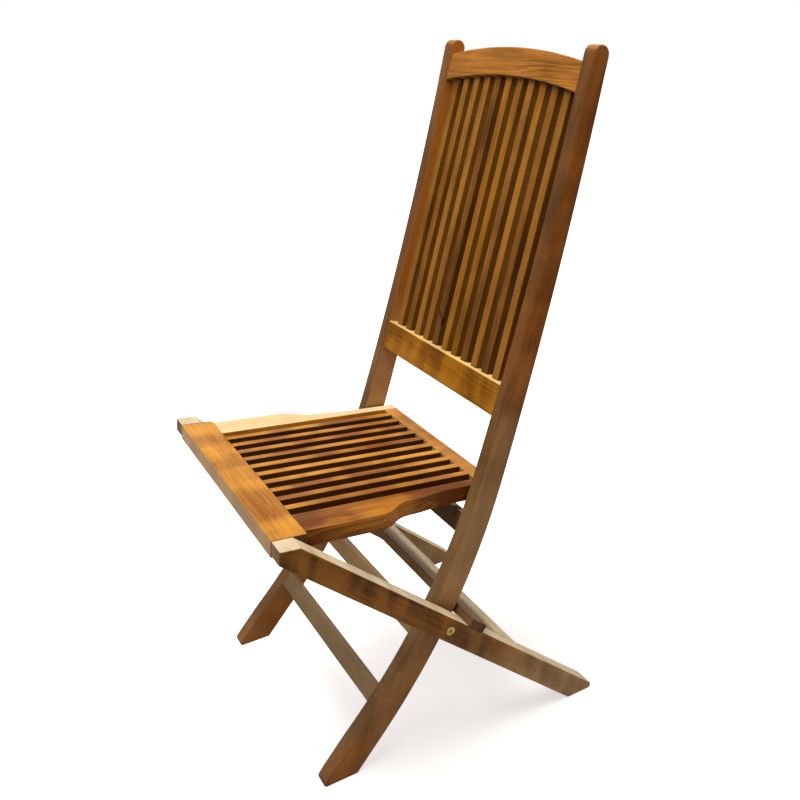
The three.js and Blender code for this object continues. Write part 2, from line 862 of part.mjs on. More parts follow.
function seatSideRail() {
  const body = planBoard(seatSideOutline(), seatThickness, seatRound);
  const pinBore = roundBar(
    seatRailTailOuter - seatPinReach - fitGap,
    seatRailTailOuter + cutOverrun,
    seatPinDiameter + 2 * fitGap,
  );
  return cut(join(body, [seatTenon(0)]), [pinBore, rearRailTenon(fitGap)]);
}

function seatRearRail() {
  const shape = new THREE.Shape();
  shape.moveTo(-seatRailInner, seatTail - seatRearRailDepth);
  shape.lineTo(seatRailInner, seatTail - seatRearRailDepth);
  shape.lineTo(seatRailInner, seatTail);
  shape.lineTo(-seatRailInner, seatTail);
  shape.closePath();
  const tenon = rearRailTenon(0);
  const front = seatTail - seatRearRailDepth;
  const pockets = [];
  for (let index = 0; index < seatSlatCount; index += 1) {
    const inner = front + housingDepth + fitGap;
    pockets.push(seatSlatPocket(seatSlatX(index), front - cutOverrun, inner));
  }
  const body = planBoard(shape, seatThickness, seatRound);
  return cut(join(body, [tenon, mirrored(tenon)]), pockets);
}

// A seat slat in side view, with its ends stepped down so that they enter their pockets
function seatSlat() {
  const front = boardBack;
  const rear = seatTail - seatRearRailDepth;
  const shape = new THREE.Shape();
  const low = seatTop - seatSlatThickness;
  const step = seatTop - seatSlatShoulder();
  shape.moveTo(front - housingDepth, low);
  shape.lineTo(rear + housingDepth, low);
  shape.lineTo(rear + housingDepth, step);
  shape.lineTo(rear, step);
  shape.lineTo(rear, seatTop);
  shape.lineTo(front, seatTop);
  shape.lineTo(front, step);
  shape.lineTo(front - housingDepth, step);
  shape.closePath();
  return sideBoard(shape, -seatSlatWidth / 2, seatSlatWidth, slatRound);
}

function seatGroup() {
  const group = laidGroup('seat', seatHingePoint, seatTilt);
  group.add(mesh('seat_front_board', seatFrontBoard(), seatTeak()));
  addPair(group, 'seat_side_rail', seatSideRail(), seatSideTeak);
  group.add(mesh('seat_rear_rail', seatRearRail(), seatTeak()));
  for (let index = 0; index < seatSlatCount; index += 1) {
    const slat = mesh(`seat_slat_${twoFigures(index)}`, seatSlat(), seatTeak());
    slat.position.x = seatSlatX(index);
    group.add(slat);
  }
  return group;
}

// The whole chair, with its origin on the floor under the middle of its bounding box
const chair = new THREE.Group();
chair.name = 'folding_teak_chair';
const frames = new THREE.Group();
frames.name = 'frames';
frames.add(backFrame(), legFrame(), seatGroup());
chair.add(frames);
chair.updateMatrixWorld(true);
frames.position.y = -new THREE.Box3().setFromObject(chair, true).getCenter(new THREE.Vector3()).y;
chair.updateMatrixWorld(true);

export default chair;
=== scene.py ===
import logging
import math
import random
from dataclasses import dataclass, field
from enum import Enum

import bmesh
import bpy
from mathutils import Matrix, Vector


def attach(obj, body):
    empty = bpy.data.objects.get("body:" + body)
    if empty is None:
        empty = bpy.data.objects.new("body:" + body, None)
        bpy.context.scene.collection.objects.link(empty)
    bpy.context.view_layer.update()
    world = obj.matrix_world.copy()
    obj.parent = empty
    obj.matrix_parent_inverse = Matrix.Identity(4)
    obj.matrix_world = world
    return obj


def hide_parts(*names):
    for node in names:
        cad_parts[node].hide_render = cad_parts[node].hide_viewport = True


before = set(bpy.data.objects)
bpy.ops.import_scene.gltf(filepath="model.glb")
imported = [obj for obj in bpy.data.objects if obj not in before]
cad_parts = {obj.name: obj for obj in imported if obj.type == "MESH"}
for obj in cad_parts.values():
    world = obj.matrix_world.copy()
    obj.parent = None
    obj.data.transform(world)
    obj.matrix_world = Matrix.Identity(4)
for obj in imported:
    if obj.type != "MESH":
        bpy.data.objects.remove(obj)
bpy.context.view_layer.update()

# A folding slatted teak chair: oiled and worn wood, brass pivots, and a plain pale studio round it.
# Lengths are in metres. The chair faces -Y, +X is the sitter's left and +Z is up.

LOG = logging.getLogger("chair")

Colour = tuple[float, float, float]


def from_screen(red: int, green: int, blue: int) -> Colour:
    """Turns a colour as it looks on a screen, 0 to 255, into the linear values that shaders use.

    Args:
        red: Red, 0 to 255.
        green: Green, 0 to 255.
        blue: Blue, 0 to 255.

    Returns:
        The linear red, green and blue, 0 to 1.
    """
    def straight(value: int) -> float:
        """One channel, made linear."""
        share = value / 255
        return share / 12.92 if share <= 0.04045 else ((share + 0.055) / 1.055) ** 2.4
    return (straight(red), straight(green), straight(blue))


def darker(colour: Colour, share: float) -> Colour:
    """A colour brought down to a share of its strength."""
    return tuple(channel * share for channel in colour)


def put_in_scene(name: str, data: bpy.types.ID) -> bpy.types.Object:
    """Makes an object at the origin and links it to the scene.

    Args:
        name: The object's name.
        data: Its mesh, lamp or camera.

    Returns:
        The new object.
    """
    made = bpy.data.objects.new(name, data)
    bpy.context.scene.collection.objects.link(made)
    return made


ACROSS = Vector((1.0, 0.0, 0.0))
FORWARD = Vector((0.0, -1.0, 0.0))
UP = Vector((0.0, 0.0, 1.0))
ORIGIN = (0.0, 0.0, 0.0)
HALF = (0.5, 0.5, 0.5)
WHITE = (1.0, 1.0, 1.0)

# The teak's figure: features to the metre along and across the grain, and where each layer starts and ends
DRIFT = (2.6, 7.0)
RING_WAVER = (5.0, 60.0)
RING_WAVER_DEPTH = 2.2
RING_RISE = (0.15, 0.86)
RING_END = (1.0, 0.9)
FIBRES = (14.0, 520.0)
FIBRE_STEP = (0.3, 0.7)
PORES = (90.0, 1500.0)
PORE_STEP = (0.62, 0.74)
CLOUDS = (5.0, 26.0)
CLOUD_STEP = (0.3, 0.7)
CURL_ACROSS = 0.35
CURL_STEP = (0.34, 0.66)
BAND_SLANT = 0.45
BAND_RATE = 42.0
BAND_BREAK = 9.0
BAND_STEP = (0.4, 0.62)

# Masks of wear, of painted shade in corners with some grime, of damp and of the split: patches to the
# metre, lengths, and where each starts and ends
WEAR_REACH = 0.002
WEAR_PATCHES = 14.0
WEAR_PATCH_STEP = (0.36, 0.66)
WEAR_TURN_STEP = (0.01, 0.12)
SHADE_GRIME_PATCHES = 60.0
SHADE_GRIME_PATCH_STEP = (0.0, 0.5)
CORNER_SHADE_STEP = (0.3, 0.85)
DAMP_PATCHES = 14.0
DAMP_WAVER = 0.3
SPLIT_TEETH = 260.0
SPLIT_RAGGED = 0.002
SPLIT_HALF_WIDTH = 0.0019
SPLIT_STEP = (0.0, 0.0003)

# Tones of weathered teak that several finishes share; LIT_BLEACHED is painted light with sun bleach, for
# faces that look up and for faces that look forward
RUBBED = from_screen(176, 142, 102)
LIT_BLEACHED = from_screen(222, 190, 142)
GREYED = from_screen(196, 152, 102)
DULL = from_screen(158, 104, 44)
SHEEN = (1.0, 0.84, 0.62)

# Sends near tones to hues far apart
HUE_SCATTER = 43.0

# The split in a back slat: across the slat's face, then down its side
SLAT_SPLIT = ((-0.038, 0.1336, 0.6255), (-0.0235, 0.1325, 0.616), (-0.0228, 0.129, 0.6045))


class Wood(Enum):
    """The finishes that the wooden pieces take, each with its material's name."""

    UPRIGHT = "upright_teak"
    UNDER = "under_teak"
    LEG = "leg_teak"
    CREST = "crest_teak"
    LOWER_RAIL = "lower_rail_teak"
    BACK_SLAT = "back_slat_teak"
    SEAT = "seat_teak"
    SEAT_SIDE = "seat_side_teak"


class Metal(Enum):
    """The finishes of the hardware, each with its material's name."""

    BRASS = "pivot_brass"
    STEEL = "pin_steel"


class NodeBench:
    """Adds nodes to a tree, sets their inputs and links them."""

    def __init__(self, tree: bpy.types.NodeTree) -> None:
        """Keeps the tree.

        Args:
            tree: The node tree to build in.
        """
        self.tree = tree
        self.column = 0

    def add(self, kind: str, inputs: dict | None = None, **settings: object) -> bpy.types.Node:
        """Adds a node, sets its properties and its inputs.

        Args:
            kind: The node's type name.
            inputs: Input name or number to a value or to an output socket.
            settings: Properties of the node.

        Returns:
            The new node.
        """
        node = self.tree.nodes.new(kind)
        node.location = (self.column * 180, -60 * (self.column % 5))
        self.column += 1
        for name, value in settings.items():
            setattr(node, name, value)
        for key, value in (inputs or {}).items():
            self.feed(node.inputs[key], value)
        return node

    def feed(self, socket: bpy.types.NodeSocket, value: object) -> None:
        """Links an output to a socket, or sets the socket's own value.

        Args:
            socket: The input.
            value: An output socket, a number or a row of numbers.
        """
        if isinstance(value, bpy.types.NodeSocket):
            self.tree.links.new(value, socket)
        elif socket.type == "RGBA" and len(value) == 3:
            socket.default_value = (*value, 1.0)
        else:
            socket.default_value = value

    def math(self, operation: str, *values: object, clamp: bool = False) -> bpy.types.NodeSocket:
        """One Math node.

        Args:
            operation: The operation's name.
            values: Its inputs, in order.
            clamp: Whether the result is kept between 0 and 1.

        Returns:
            The result's socket.
        """
        inputs = dict(enumerate(values))
        return self.add("ShaderNodeMath", inputs, operation=operation, use_clamp=clamp).outputs[0]

    def vector(self, operation: str, *values: object) -> bpy.types.NodeSocket:
        """One Vector Math node.

        Args:
            operation: The operation's name.
            values: Its inputs, in order.

        Returns:
            The first result's socket.
        """
        node = self.add("ShaderNodeVectorMath", dict(enumerate(values)), operation=operation)
        return node.outputs["Value" if operation in {"LENGTH", "DOT_PRODUCT"} else "Vector"]

    def joined(self, **parts: object) -> bpy.types.NodeSocket:
        """A vector from its X, Y and Z, each zero where it isn't given."""
        return self.add("ShaderNodeCombineXYZ", parts).outputs[0]

    def attribute(self, name: str) -> bpy.types.NodeSocket:
        """A number that the mesh carries."""
        return self.add("ShaderNodeAttribute", attribute_name=name).outputs["Fac"]

    def spot(self) -> bpy.types.NodeSocket:
        """The place on the piece, in metres."""
        return self.add("ShaderNodeTexCoord").outputs["Object"]

    def group(self, tree: bpy.types.NodeTree, inputs: dict | None = None) -> bpy.types.Node:
        """Places a shared group.

        Args:
            tree: The group.
            inputs: Input name to value.

        Returns:
            The group's node.
        """
        return self.add("ShaderNodeGroup", inputs, node_tree=tree)

    def relief(self, shader: bpy.types.Node, height: object, strength: float, reach: float) -> None:
        """Gives a shader a bump.

        Args:
            shader: The shader.
            height: The height's socket.
            strength: How strong the bump is.
            reach: How high it stands, in metres.
        """
        bump = self.add("ShaderNodeBump", {"Height": height, "Strength": strength, "Distance": reach})
        self.feed(shader.inputs["Normal"], bump.outputs["Normal"])

    def scaled(self, place: object, factor: object) -> bpy.types.NodeSocket:
        """A vector times a number.

        Args:
            place: The vector.
            factor: The number.

        Returns:
            The scaled vector.
        """
        inputs = {0: place, "Scale": factor}
        return self.add("ShaderNodeVectorMath", inputs, operation="SCALE").outputs[0]

    def centred(self, place: object) -> bpy.types.NodeSocket:
        """A noise colour moved so that it swings about zero."""
        return self.vector("SUBTRACT", place, HALF)

    def noise(
        self, place: object, scale: float = 1.0, detail: float = 2.0, roughness: float = 0.5
    ) -> bpy.types.Node:
        """A noise texture that reads a place.

        Args:
            place: The vector to read.
            scale: Features to the metre.
            detail: How many finer layers there are.
            roughness: How strong the finer layers are.

        Returns:
            The noise node.
        """
        inputs = {"Vector": place, "Scale": scale, "Detail": detail, "Roughness": roughness}
        return self.add("ShaderNodeTexNoise", inputs)

    def stretched(self, place: object, along: float, across: float) -> bpy.types.NodeSocket:
        """A place scaled differently along and across the grain.

        Args:
            place: The grain place.
            along: Features to the metre along the grain.
            across: Features to the metre across it.

        Returns:
            The scaled place.
        """
        return self.vector("MULTIPLY", place, (along, across, across))

    def spread(self, value: object, low: object, high: object) -> bpy.types.NodeSocket:
        """Maps low to 0 and high to 1, smoothly and clamped.

        Args:
            value: The value to map.
            low: What becomes 0.
            high: What becomes 1.

        Returns:
            The mapped value.
        """
        inputs = {"Value": value, "From Min": low, "From Max": high}
        return self.add("ShaderNodeMapRange", inputs, interpolation_type="SMOOTHSTEP").outputs["Result"]

    def mix(self, share: object, first: object, second: object, blend: str = "MIX") -> bpy.types.NodeSocket:
        """Mixes two colours.

        Args:
            share: How much of the second there is.
            first: The first colour.
            second: The second colour.
            blend: The blend's name.

        Returns:
            The mixed colour.
        """
        inputs = {0: share, 6: first, 7: second}
        return self.add("ShaderNodeMix", inputs, data_type="RGBA", blend_type=blend).outputs[2]


def start_material(
    name: str, shader_kind: str = "ShaderNodeBsdfPrincipled"
) -> tuple[bpy.types.Material, NodeBench, bpy.types.Node]:
    """Makes a material that holds one shader wired to its output.

    Args:
        name: The material's name.
        shader_kind: The shader node's type.

    Returns:
        The material, its bench and its shader.
    """
    made = bpy.data.materials.new(name)
    made.use_nodes = True
    made.node_tree.nodes.clear()
    bench = NodeBench(made.node_tree)
    shader = bench.add(shader_kind)
    bench.add("ShaderNodeOutputMaterial", {"Surface": shader.outputs[0]})
    return made, bench, shader


class GroupMaker:
    """Builds the shader node groups that several materials share, each once."""

    def __init__(self) -> None:
        """Builds all groups."""
        self.figure = self.teak_figure()
        self.wear = self.edge_wear()
        self.shade_grime = self.corner_shade_and_grime()
        self.damp = self.low_weather()
        self.split = self.short_split()

    @staticmethod
    def start(
        name: str, inputs: dict[str, float | tuple], outputs: tuple[str, ...] = ("Mask",)
    ) -> tuple[bpy.types.NodeTree, NodeBench, bpy.types.Node, bpy.types.Node]:
        """Makes an empty group with named sockets.

        Args:
            name: The group's name.
            inputs: Input name to its first value, a number or a place.
            outputs: The names of the numbers that it puts out.

        Returns:
            The group, its bench, its input node and its output node.
        """
        group = bpy.data.node_groups.new(name, "ShaderNodeTree")
        for label, value in inputs.items():
            kind = "NodeSocketVector" if isinstance(value, tuple) else "NodeSocketFloat"
            socket = group.interface.new_socket(label, in_out="INPUT", socket_type=kind)
            socket.default_value = value
        for label in outputs:
            group.interface.new_socket(label, in_out="OUTPUT", socket_type="NodeSocketFloat")
        bench = NodeBench(group)
        return group, bench, bench.add("NodeGroupInput"), bench.add("NodeGroupOutput")

    def teak_figure(self) -> bpy.types.NodeTree:
        """The wood's figure in grain space: growth rings, fibres, pores, clouds, curl and cross bands.

        Returns:
            The node group.
        """
        group, bench, given, result = self.start(
            "teak figure",
            {"Grain Place": ORIGIN, "Ring Width": 0.004, "Sway": 0.02, "Curl Rate": 16.0},
            ("Rings", "Fibres", "Pores", "Clouds", "Curl", "Bands"),
        )
        place = given.outputs["Grain Place"]
        drift = bench.centred(bench.noise(bench.stretched(place, *DRIFT)).outputs["Color"])
        bent = bench.vector("ADD", place, bench.scaled(drift, given.outputs["Sway"]))
        bench.feed(result.inputs["Rings"], self.rings(bench, place, bent, given.outputs["Ring Width"]))
        layers = (
            ("Fibres", bent, FIBRES, 3.0, 0.65, FIBRE_STEP),
            ("Pores", bent, PORES, 1.0, 0.5, PORE_STEP),
            ("Clouds", place, CLOUDS, 3.0, 0.55, CLOUD_STEP),
        )
        for name, where, scales, detail, roughness, (low, high) in layers:
            layer = bench.noise(bench.stretched(where, *scales), detail=detail, roughness=roughness)
            bench.feed(result.inputs[name], bench.spread(layer.outputs["Fac"], low, high))
        swirled = bench.scaled(bench.stretched(place, 1.0, CURL_ACROSS), given.outputs["Curl Rate"])
        curl = bench.noise(swirled, roughness=0.45).outputs["Fac"]
        bench.feed(result.inputs["Curl"], bench.spread(curl, *CURL_STEP))
        bench.feed(result.inputs["Bands"], self.bands(bench, place))
        return group

    @staticmethod
    def rings(bench: NodeBench, place: object, bent: object, ring_width: object) -> bpy.types.NodeSocket:
        """Growth rings round the pith, each slow to darken and quick to end.

        Args:
            bench: The group's bench.
            place: The grain place.
            bent: The same with the log's sway.
            ring_width: How wide a ring is.

        Returns:
            How deep in its ring each spot lies, from 0 to 1.
        """
        radius = bench.vector("LENGTH", bench.vector("MULTIPLY", bent, (0.0, 1.0, 1.0)))
        uneven = bench.noise(bench.stretched(place, *RING_WAVER), detail=3.0).outputs["Fac"]
        count = bench.math("DIVIDE", radius, ring_width)
        count = bench.math("ADD", count, bench.math("MULTIPLY", uneven, RING_WAVER_DEPTH))
        tooth = bench.math("FRACT", count)
        return bench.math("MULTIPLY", bench.spread(tooth, *RING_RISE), bench.spread(tooth, *RING_END))

    @staticmethod
    def bands(bench: NodeBench, place: object) -> bpy.types.NodeSocket:
        """Slanted dark bands across the grain, where the fibres dip in and out.

        Args:
            bench: The group's bench.
            place: The grain place.

        Returns:
            The bands, from 0 to 1.
        """
        apart = bench.add("ShaderNodeSeparateXYZ", {0: place}).outputs
        slanted = bench.math("ADD", apart["X"], bench.math("MULTIPLY", apart["Y"], BAND_SLANT))
        across = {name: bench.math("MULTIPLY", apart[name], BAND_BREAK) for name in ("Y", "Z")}
        banded = bench.joined(X=bench.math("MULTIPLY", slanted, BAND_RATE), **across)
        found = bench.noise(banded, roughness=0.4).outputs["Fac"]
        return bench.spread(found, *BAND_STEP)

    def edge_wear(self) -> bpy.types.NodeTree:
        """A mask of the arrises that hands and weather have rubbed pale.

        Returns:
            The node group.
        """
        inputs = {"Reach": WEAR_REACH, "Patchiness": WEAR_PATCHES}
        group, bench, given, result = self.start("edge wear", inputs)
        soft = bench.add("ShaderNodeBevel", {"Radius": given.outputs["Reach"]}, samples=4)
        true = bench.add("ShaderNodeNewGeometry").outputs["Normal"]
        turn = bench.math("SUBTRACT", 1.0, bench.vector("DOT_PRODUCT", soft.outputs["Normal"], true))
        place = bench.spot()
        patch = bench.noise(place, given.outputs["Patchiness"], detail=4.0)
        rubbed = bench.spread(patch.outputs["Fac"], *WEAR_PATCH_STEP)
        mask = bench.math("MULTIPLY", bench.spread(turn, *WEAR_TURN_STEP), rubbed, clamp=True)
        bench.feed(result.inputs["Mask"], mask)
        return group

    def corner_shade_and_grime(self) -> bpy.types.NodeTree:
        """A mask of inner corners and gaps, found by ambient occlusion, where shade is painted darker,
        broken into patches like dust and old oil.

        Returns:
            The node group.
        """
        group, bench, given, result = self.start("corner grime", {"Reach": 0.012})
        shade = bench.add("ShaderNodeAmbientOcclusion", {"Distance": given.outputs["Reach"]}, samples=4)
        place = bench.spot()
        patch = bench.noise(place, SHADE_GRIME_PATCHES, detail=3.0).outputs["Fac"]
        closed = bench.spread(bench.math("SUBTRACT", 1.0, shade.outputs["AO"]), *CORNER_SHADE_STEP)
        mask = bench.math("MULTIPLY", closed, bench.spread(patch, *SHADE_GRIME_PATCH_STEP), clamp=True)
        bench.feed(result.inputs["Mask"], mask)
        return group

    def short_split(self) -> bpy.types.NodeTree:
        """A mask of a ragged split that runs from one point to another.

        Returns:
            The node group.
        """
        inputs = {"From": ORIGIN, "To": (0.0, 0.0, 1.0), "Half Width": SPLIT_HALF_WIDTH}
        group, bench, given, result = self.start("short split", inputs)
        place = bench.spot()
        ragged = bench.centred(bench.noise(place, SPLIT_TEETH).outputs["Color"])
        ragged = bench.scaled(ragged, SPLIT_RAGGED)
        reach = bench.vector("SUBTRACT", bench.vector("ADD", place, ragged), given.outputs["From"])
        run = bench.vector("SUBTRACT", given.outputs["To"], given.outputs["From"])
        along = bench.vector("DOT_PRODUCT", reach, run)
        share = bench.math("DIVIDE", along, bench.vector("DOT_PRODUCT", run, run))
        share = bench.math("MAXIMUM", bench.math("MINIMUM", share, 1.0), 0.0)
        nearest = bench.vector("MULTIPLY", run, share)
        off = bench.vector("LENGTH", bench.vector("SUBTRACT", reach, nearest))
        near = bench.math("SUBTRACT", given.outputs["Half Width"], off)
        bench.feed(result.inputs["Mask"], bench.spread(near, *SPLIT_STEP))
        return group

    def low_weather(self) -> bpy.types.NodeTree:
        """A mask of the stretch that damp and sun have turned pale and grey, with cloudy edges.

        Returns:
            The node group.
        """
        inputs = {"Full": 0.0, "Gone": 0.5, "Start": -1.0}
        group, bench, given, result = self.start("low weather", inputs)
        place = bench.spot()
        height = bench.add("ShaderNodeSeparateXYZ", {0: place}).outputs["Z"]
        patch = bench.noise(place, DAMP_PATCHES, detail=3.0).outputs["Fac"]
        waver = bench.math("MULTIPLY", bench.math("SUBTRACT", patch, 0.5), DAMP_WAVER)
        height = bench.math("ADD", height, waver)
        full = given.outputs["Full"]
        below = bench.spread(height, given.outputs["Gone"], full)
        above = bench.spread(height, given.outputs["Start"], full)
        bench.feed(result.inputs["Mask"], bench.math("MULTIPLY", below, above))
        return group


@dataclass(frozen=True)
class TeakFinish:
    """One look of teak, from its colours to how strongly each part of its figure shows."""

    wood: Wood
    light: Colour
    dark: Colour
    rubbed: Colour = RUBBED
    middle: float = 0.42
    ring_width: float = 0.0042
    sway: float = 0.02
    ring_share: float = 0.3
    fibre_share: float = 0.28
    cloud_share: float = 0.5
    curl_share: float = 0.2
    curl_rate: float = 16.0
    band_share: float = 0.0
    wear_share: float = 0.45
    # Painted shade in inner corners and gaps, with some grime: how strong it is and how far it reaches
    shade_grime_share: float = 0.8
    shade_grime_reach: float = 0.012
    # Painted light with sun bleach on faces that look up, and painted light and shade on faces that look
    # forward
    lit_bleached_top: Colour = LIT_BLEACHED
    top_light_share: float = 0.0
    front_light_share: float = 0.0
    # Painted shade on faces that look sideways: how strong it is and how dark
    side_shade_share: float = 0.0
    side_shade_depth: float = 0.4
    # The colour painted on faces that look forward: light on some finishes, shade on others
    fronts: Colour = LIT_BLEACHED
    hue_share: float = 0.0
    damp_share: float = 0.0
    damp_start: float = -1.0
    damp_full: float = 0.0
    damp_gone: float = 0.5
    roughness: float = 0.5
    coat: float = 0.0
    shine: float = 0.18
    split_course: tuple[Colour, ...] = ()
    palest: float = -0.15
    deepest: float = 1.25
    pore_share: float = 0.35
    # How dark the painted corner shade is, as a share of the dark tone
    shade_grime_depth: float = 0.35
    split_depth: float = 0.1
    damp_mottle: float = 0.5
    pale_shade: float = 0.62
    pale_least: float = 0.7
    pale_clouds: float = 0.4
    rough_clouds: float = 0.16
    rough_worn: float = 0.2
    rough_pores: float = 0.15
    coat_roughness: float = 0.32
    fibre_relief: float = 0.5
    ring_relief: float = 0.35
    pore_relief: float = 0.6
    relief_strength: float = 0.35
    relief_reach: float = 0.0003

    def material(self, groups: GroupMaker) -> bpy.types.Material:
        """Builds the material.

        Args:
            groups: The shared node groups.

        Returns:
            The material.
        """
        made, bench, shader = start_material(self.wood.value)
        made.diffuse_color = (*self.light, 1.0)
        tone = bench.attribute("board_tone")
        place = bench.add("ShaderNodeAttribute", attribute_name="grain_place").outputs["Vector"]
        inputs = {"Grain Place": place, "Ring Width": self.ring_width, "Curl Rate": self.curl_rate}
        figure = bench.group(groups.figure, inputs | {"Sway": self.sway})
        depth = self.depth(bench, figure, tone)
        colour = self.wood_colour(bench, figure, tone, depth)
        colour = self.weathered(bench, groups, figure, depth, colour)
        wear = bench.group(groups.wear)
        worn = bench.math("MULTIPLY", wear.outputs["Mask"], self.wear_share)
        colour = bench.mix(worn, colour, self.rubbed)
        # Painted shade in inner corners and gaps, with some grime, darkens the colour
        shade_grime = bench.group(groups.shade_grime, {"Reach": self.shade_grime_reach})
        shade_grime_amount = bench.math("MULTIPLY", shade_grime.outputs["Mask"], self.shade_grime_share)
        colour = bench.mix(shade_grime_amount, colour, darker(self.dark, self.shade_grime_depth))
        for start, end in zip(self.split_course, self.split_course[1:]):
            split = bench.group(groups.split, {"From": start, "To": end})
            colour = bench.mix(split.outputs["Mask"], colour, darker(self.dark, self.split_depth))
        bench.feed(shader.inputs["Base Color"], colour)
        self.set_gloss(bench, shader, figure, worn)
        return made

    def depth(self, bench: NodeBench, figure: bpy.types.Node, tone: object) -> bpy.types.NodeSocket:
        """How dark the bare wood is, from light at 0 to dark at 1.

        Args:
            bench: The material's bench.
            figure: The figure's node.
            tone: The board's own tone.

        Returns:
            The depth.
        """
        depth = bench.math("ADD", tone, self.middle)
        shares = {
            "Rings": self.ring_share,
            "Fibres": self.fibre_share,
            "Clouds": self.cloud_share,
            "Curl": self.curl_share,
            "Bands": self.band_share,
        }
        for name, share in shares.items():
            swing = bench.math("SUBTRACT", figure.outputs[name], 0.5)
            depth = bench.math("ADD", depth, bench.math("MULTIPLY", swing, share))
        return bench.math("MAXIMUM", bench.math("MINIMUM", depth, self.deepest), self.palest)

    def wood_colour(
        self, bench: NodeBench, figure: bpy.types.Node, tone: object, depth: object
    ) -> bpy.types.NodeSocket:
        """The bare wood's colour, with a hue that differs from board to board and with its pores.

        Args:
            bench: The material's bench.
            figure: The figure's node.
            tone: The board's own tone.
            depth: How dark the wood is.

        Returns:
            The colour.
        """
        colour = bench.mix(depth, self.light, self.dark)
        hue = bench.math("FRACT", bench.math("MULTIPLY", bench.math("ADD", tone, 1.0), HUE_SCATTER))
        dull = bench.mix(depth, DULL, self.dark)
        colour = bench.mix(bench.math("MULTIPLY", hue, self.hue_share), colour, dull)
        pores = bench.math("MULTIPLY", figure.outputs["Pores"], self.pore_share)
        return bench.mix(pores, colour, self.dark, "MULTIPLY")

    def weathered(
        self, bench: NodeBench, groups: GroupMaker, figure: bpy.types.Node, depth: object, colour: object
    ) -> bpy.types.NodeSocket:
        """Adds damp, painted shade on faces that look sideways, painted light with sun bleach on faces that
        look up, and painted light and shade on faces that look forward.

        Args:
            bench: The material's bench.
            groups: The shared node groups.
            figure: The figure's node.
            depth: How dark the wood is.
            colour: The wood's colour.

        Returns:
            The weathered colour.
        """
        stretch = {"Start": self.damp_start, "Full": self.damp_full, "Gone": self.damp_gone}
        damp = bench.group(groups.damp, stretch)
        share = bench.math("MULTIPLY", damp.outputs["Mask"], self.damp_share)
        greyed = bench.mix(bench.math("MULTIPLY", depth, self.damp_mottle), GREYED, self.dark)
        colour = bench.mix(share, colour, greyed)
        # Painted shade on faces that look sideways
        share = bench.math("MULTIPLY", bench.attribute("sideways_shade_mask"), self.side_shade_share)
        colour = bench.mix(share, colour, darker(self.dark, self.side_shade_depth))
        # Painted light with sun bleach on faces that look up, and painted light and shade on faces that
        # look forward
        uneven = bench.math("MULTIPLY", figure.outputs["Clouds"], self.pale_clouds)
        uneven = bench.math("ADD", uneven, self.pale_least)
        faces = (("top_light_mask", self.top_light_share, self.lit_bleached_top), ("front_light_mask", self.front_light_share, self.fronts))
        for face, weight, pale in faces:
            share = bench.math("MULTIPLY", bench.attribute(face), weight)
            share = bench.math("MULTIPLY", share, uneven, clamp=True)
            shaded = darker(pale, self.pale_shade)
            colour = bench.mix(share, colour, bench.mix(depth, pale, shaded))
        return colour

    def set_gloss(
        self, bench: NodeBench, shader: bpy.types.Node, figure: bpy.types.Node, worn: object
    ) -> None:
        """Sets the sheen, the roughness and the relief of the grain.

        Args:
            bench: The material's bench.
            shader: The shader.
            figure: The figure's node.
            worn: How far the wood is rubbed.
        """
        clouds = bench.math("SUBTRACT", figure.outputs["Clouds"], 0.5)
        rough = bench.math("MULTIPLY", clouds, self.rough_clouds)
        for part, share in ((worn, self.rough_worn), (figure.outputs["Pores"], self.rough_pores)):
            rough = bench.math("ADD", rough, bench.math("MULTIPLY", part, share))
        bench.feed(shader.inputs["Roughness"], bench.math("ADD", rough, self.roughness, clamp=True))
        shader.inputs["Specular IOR Level"].default_value = self.shine
        shader.inputs["Specular Tint"].default_value = (*SHEEN, 1.0)
        shader.inputs["Coat Weight"].default_value = self.coat
        shader.inputs["Coat Roughness"].default_value = self.coat_roughness
        fibres = bench.math("MULTIPLY", figure.outputs["Fibres"], self.fibre_relief)
        rings = bench.math("MULTIPLY", figure.outputs["Rings"], self.ring_relief)
        pores = bench.math("MULTIPLY", figure.outputs["Pores"], self.pore_relief)
        height = bench.math("SUBTRACT", bench.math("ADD", fibres, rings), pores)
        bench.relief(shader, height, self.relief_strength, self.relief_reach)


@dataclass(frozen=True)
class MetalFinish:
    """A worn metal with stains and fine scratches."""

    metal: Metal
    clean: Colour
    stained: Colour
    roughness: float
    metallic: float = 0.9
    stains: float = 260.0
    stain_step: tuple[float, float] = (0.4, 0.7)
    stain_share: float = 0.6
    scratches: tuple[float, float] = (1500.0, 120.0)
    rough_stains: float = 0.25
    rough_scratches: float = 0.08
    relief_strength: float = 0.2
    relief_reach: float = 0.0001

    def material(self) -> bpy.types.Material:
        """Builds the material.

        Returns:
            The material.
        """
        made, bench, shader = start_material(self.metal.value)
        made.diffuse_color = (*self.clean, 1.0)
        place = bench.spot()
        stain = bench.noise(place, self.stains, detail=4.0, roughness=0.6).outputs["Fac"]
        stain = bench.spread(stain, *self.stain_step)
        colour = bench.mix(bench.math("MULTIPLY", stain, self.stain_share), self.clean, self.stained)
        bench.feed(shader.inputs["Base Color"], colour)
        shader.inputs["Metallic"].default_value = self.metallic
        scratch = bench.noise(bench.stretched(place, *self.scratches), detail=3.0).outputs["Fac"]
        rough = bench.math("ADD", bench.math("MULTIPLY", stain, self.rough_stains), self.roughness)
        rough = bench.math("ADD", rough, bench.math("MULTIPLY", scratch, self.rough_scratches))
        bench.feed(shader.inputs["Roughness"], rough)
        bench.relief(shader, scratch, self.relief_strength, self.relief_reach)
        return made


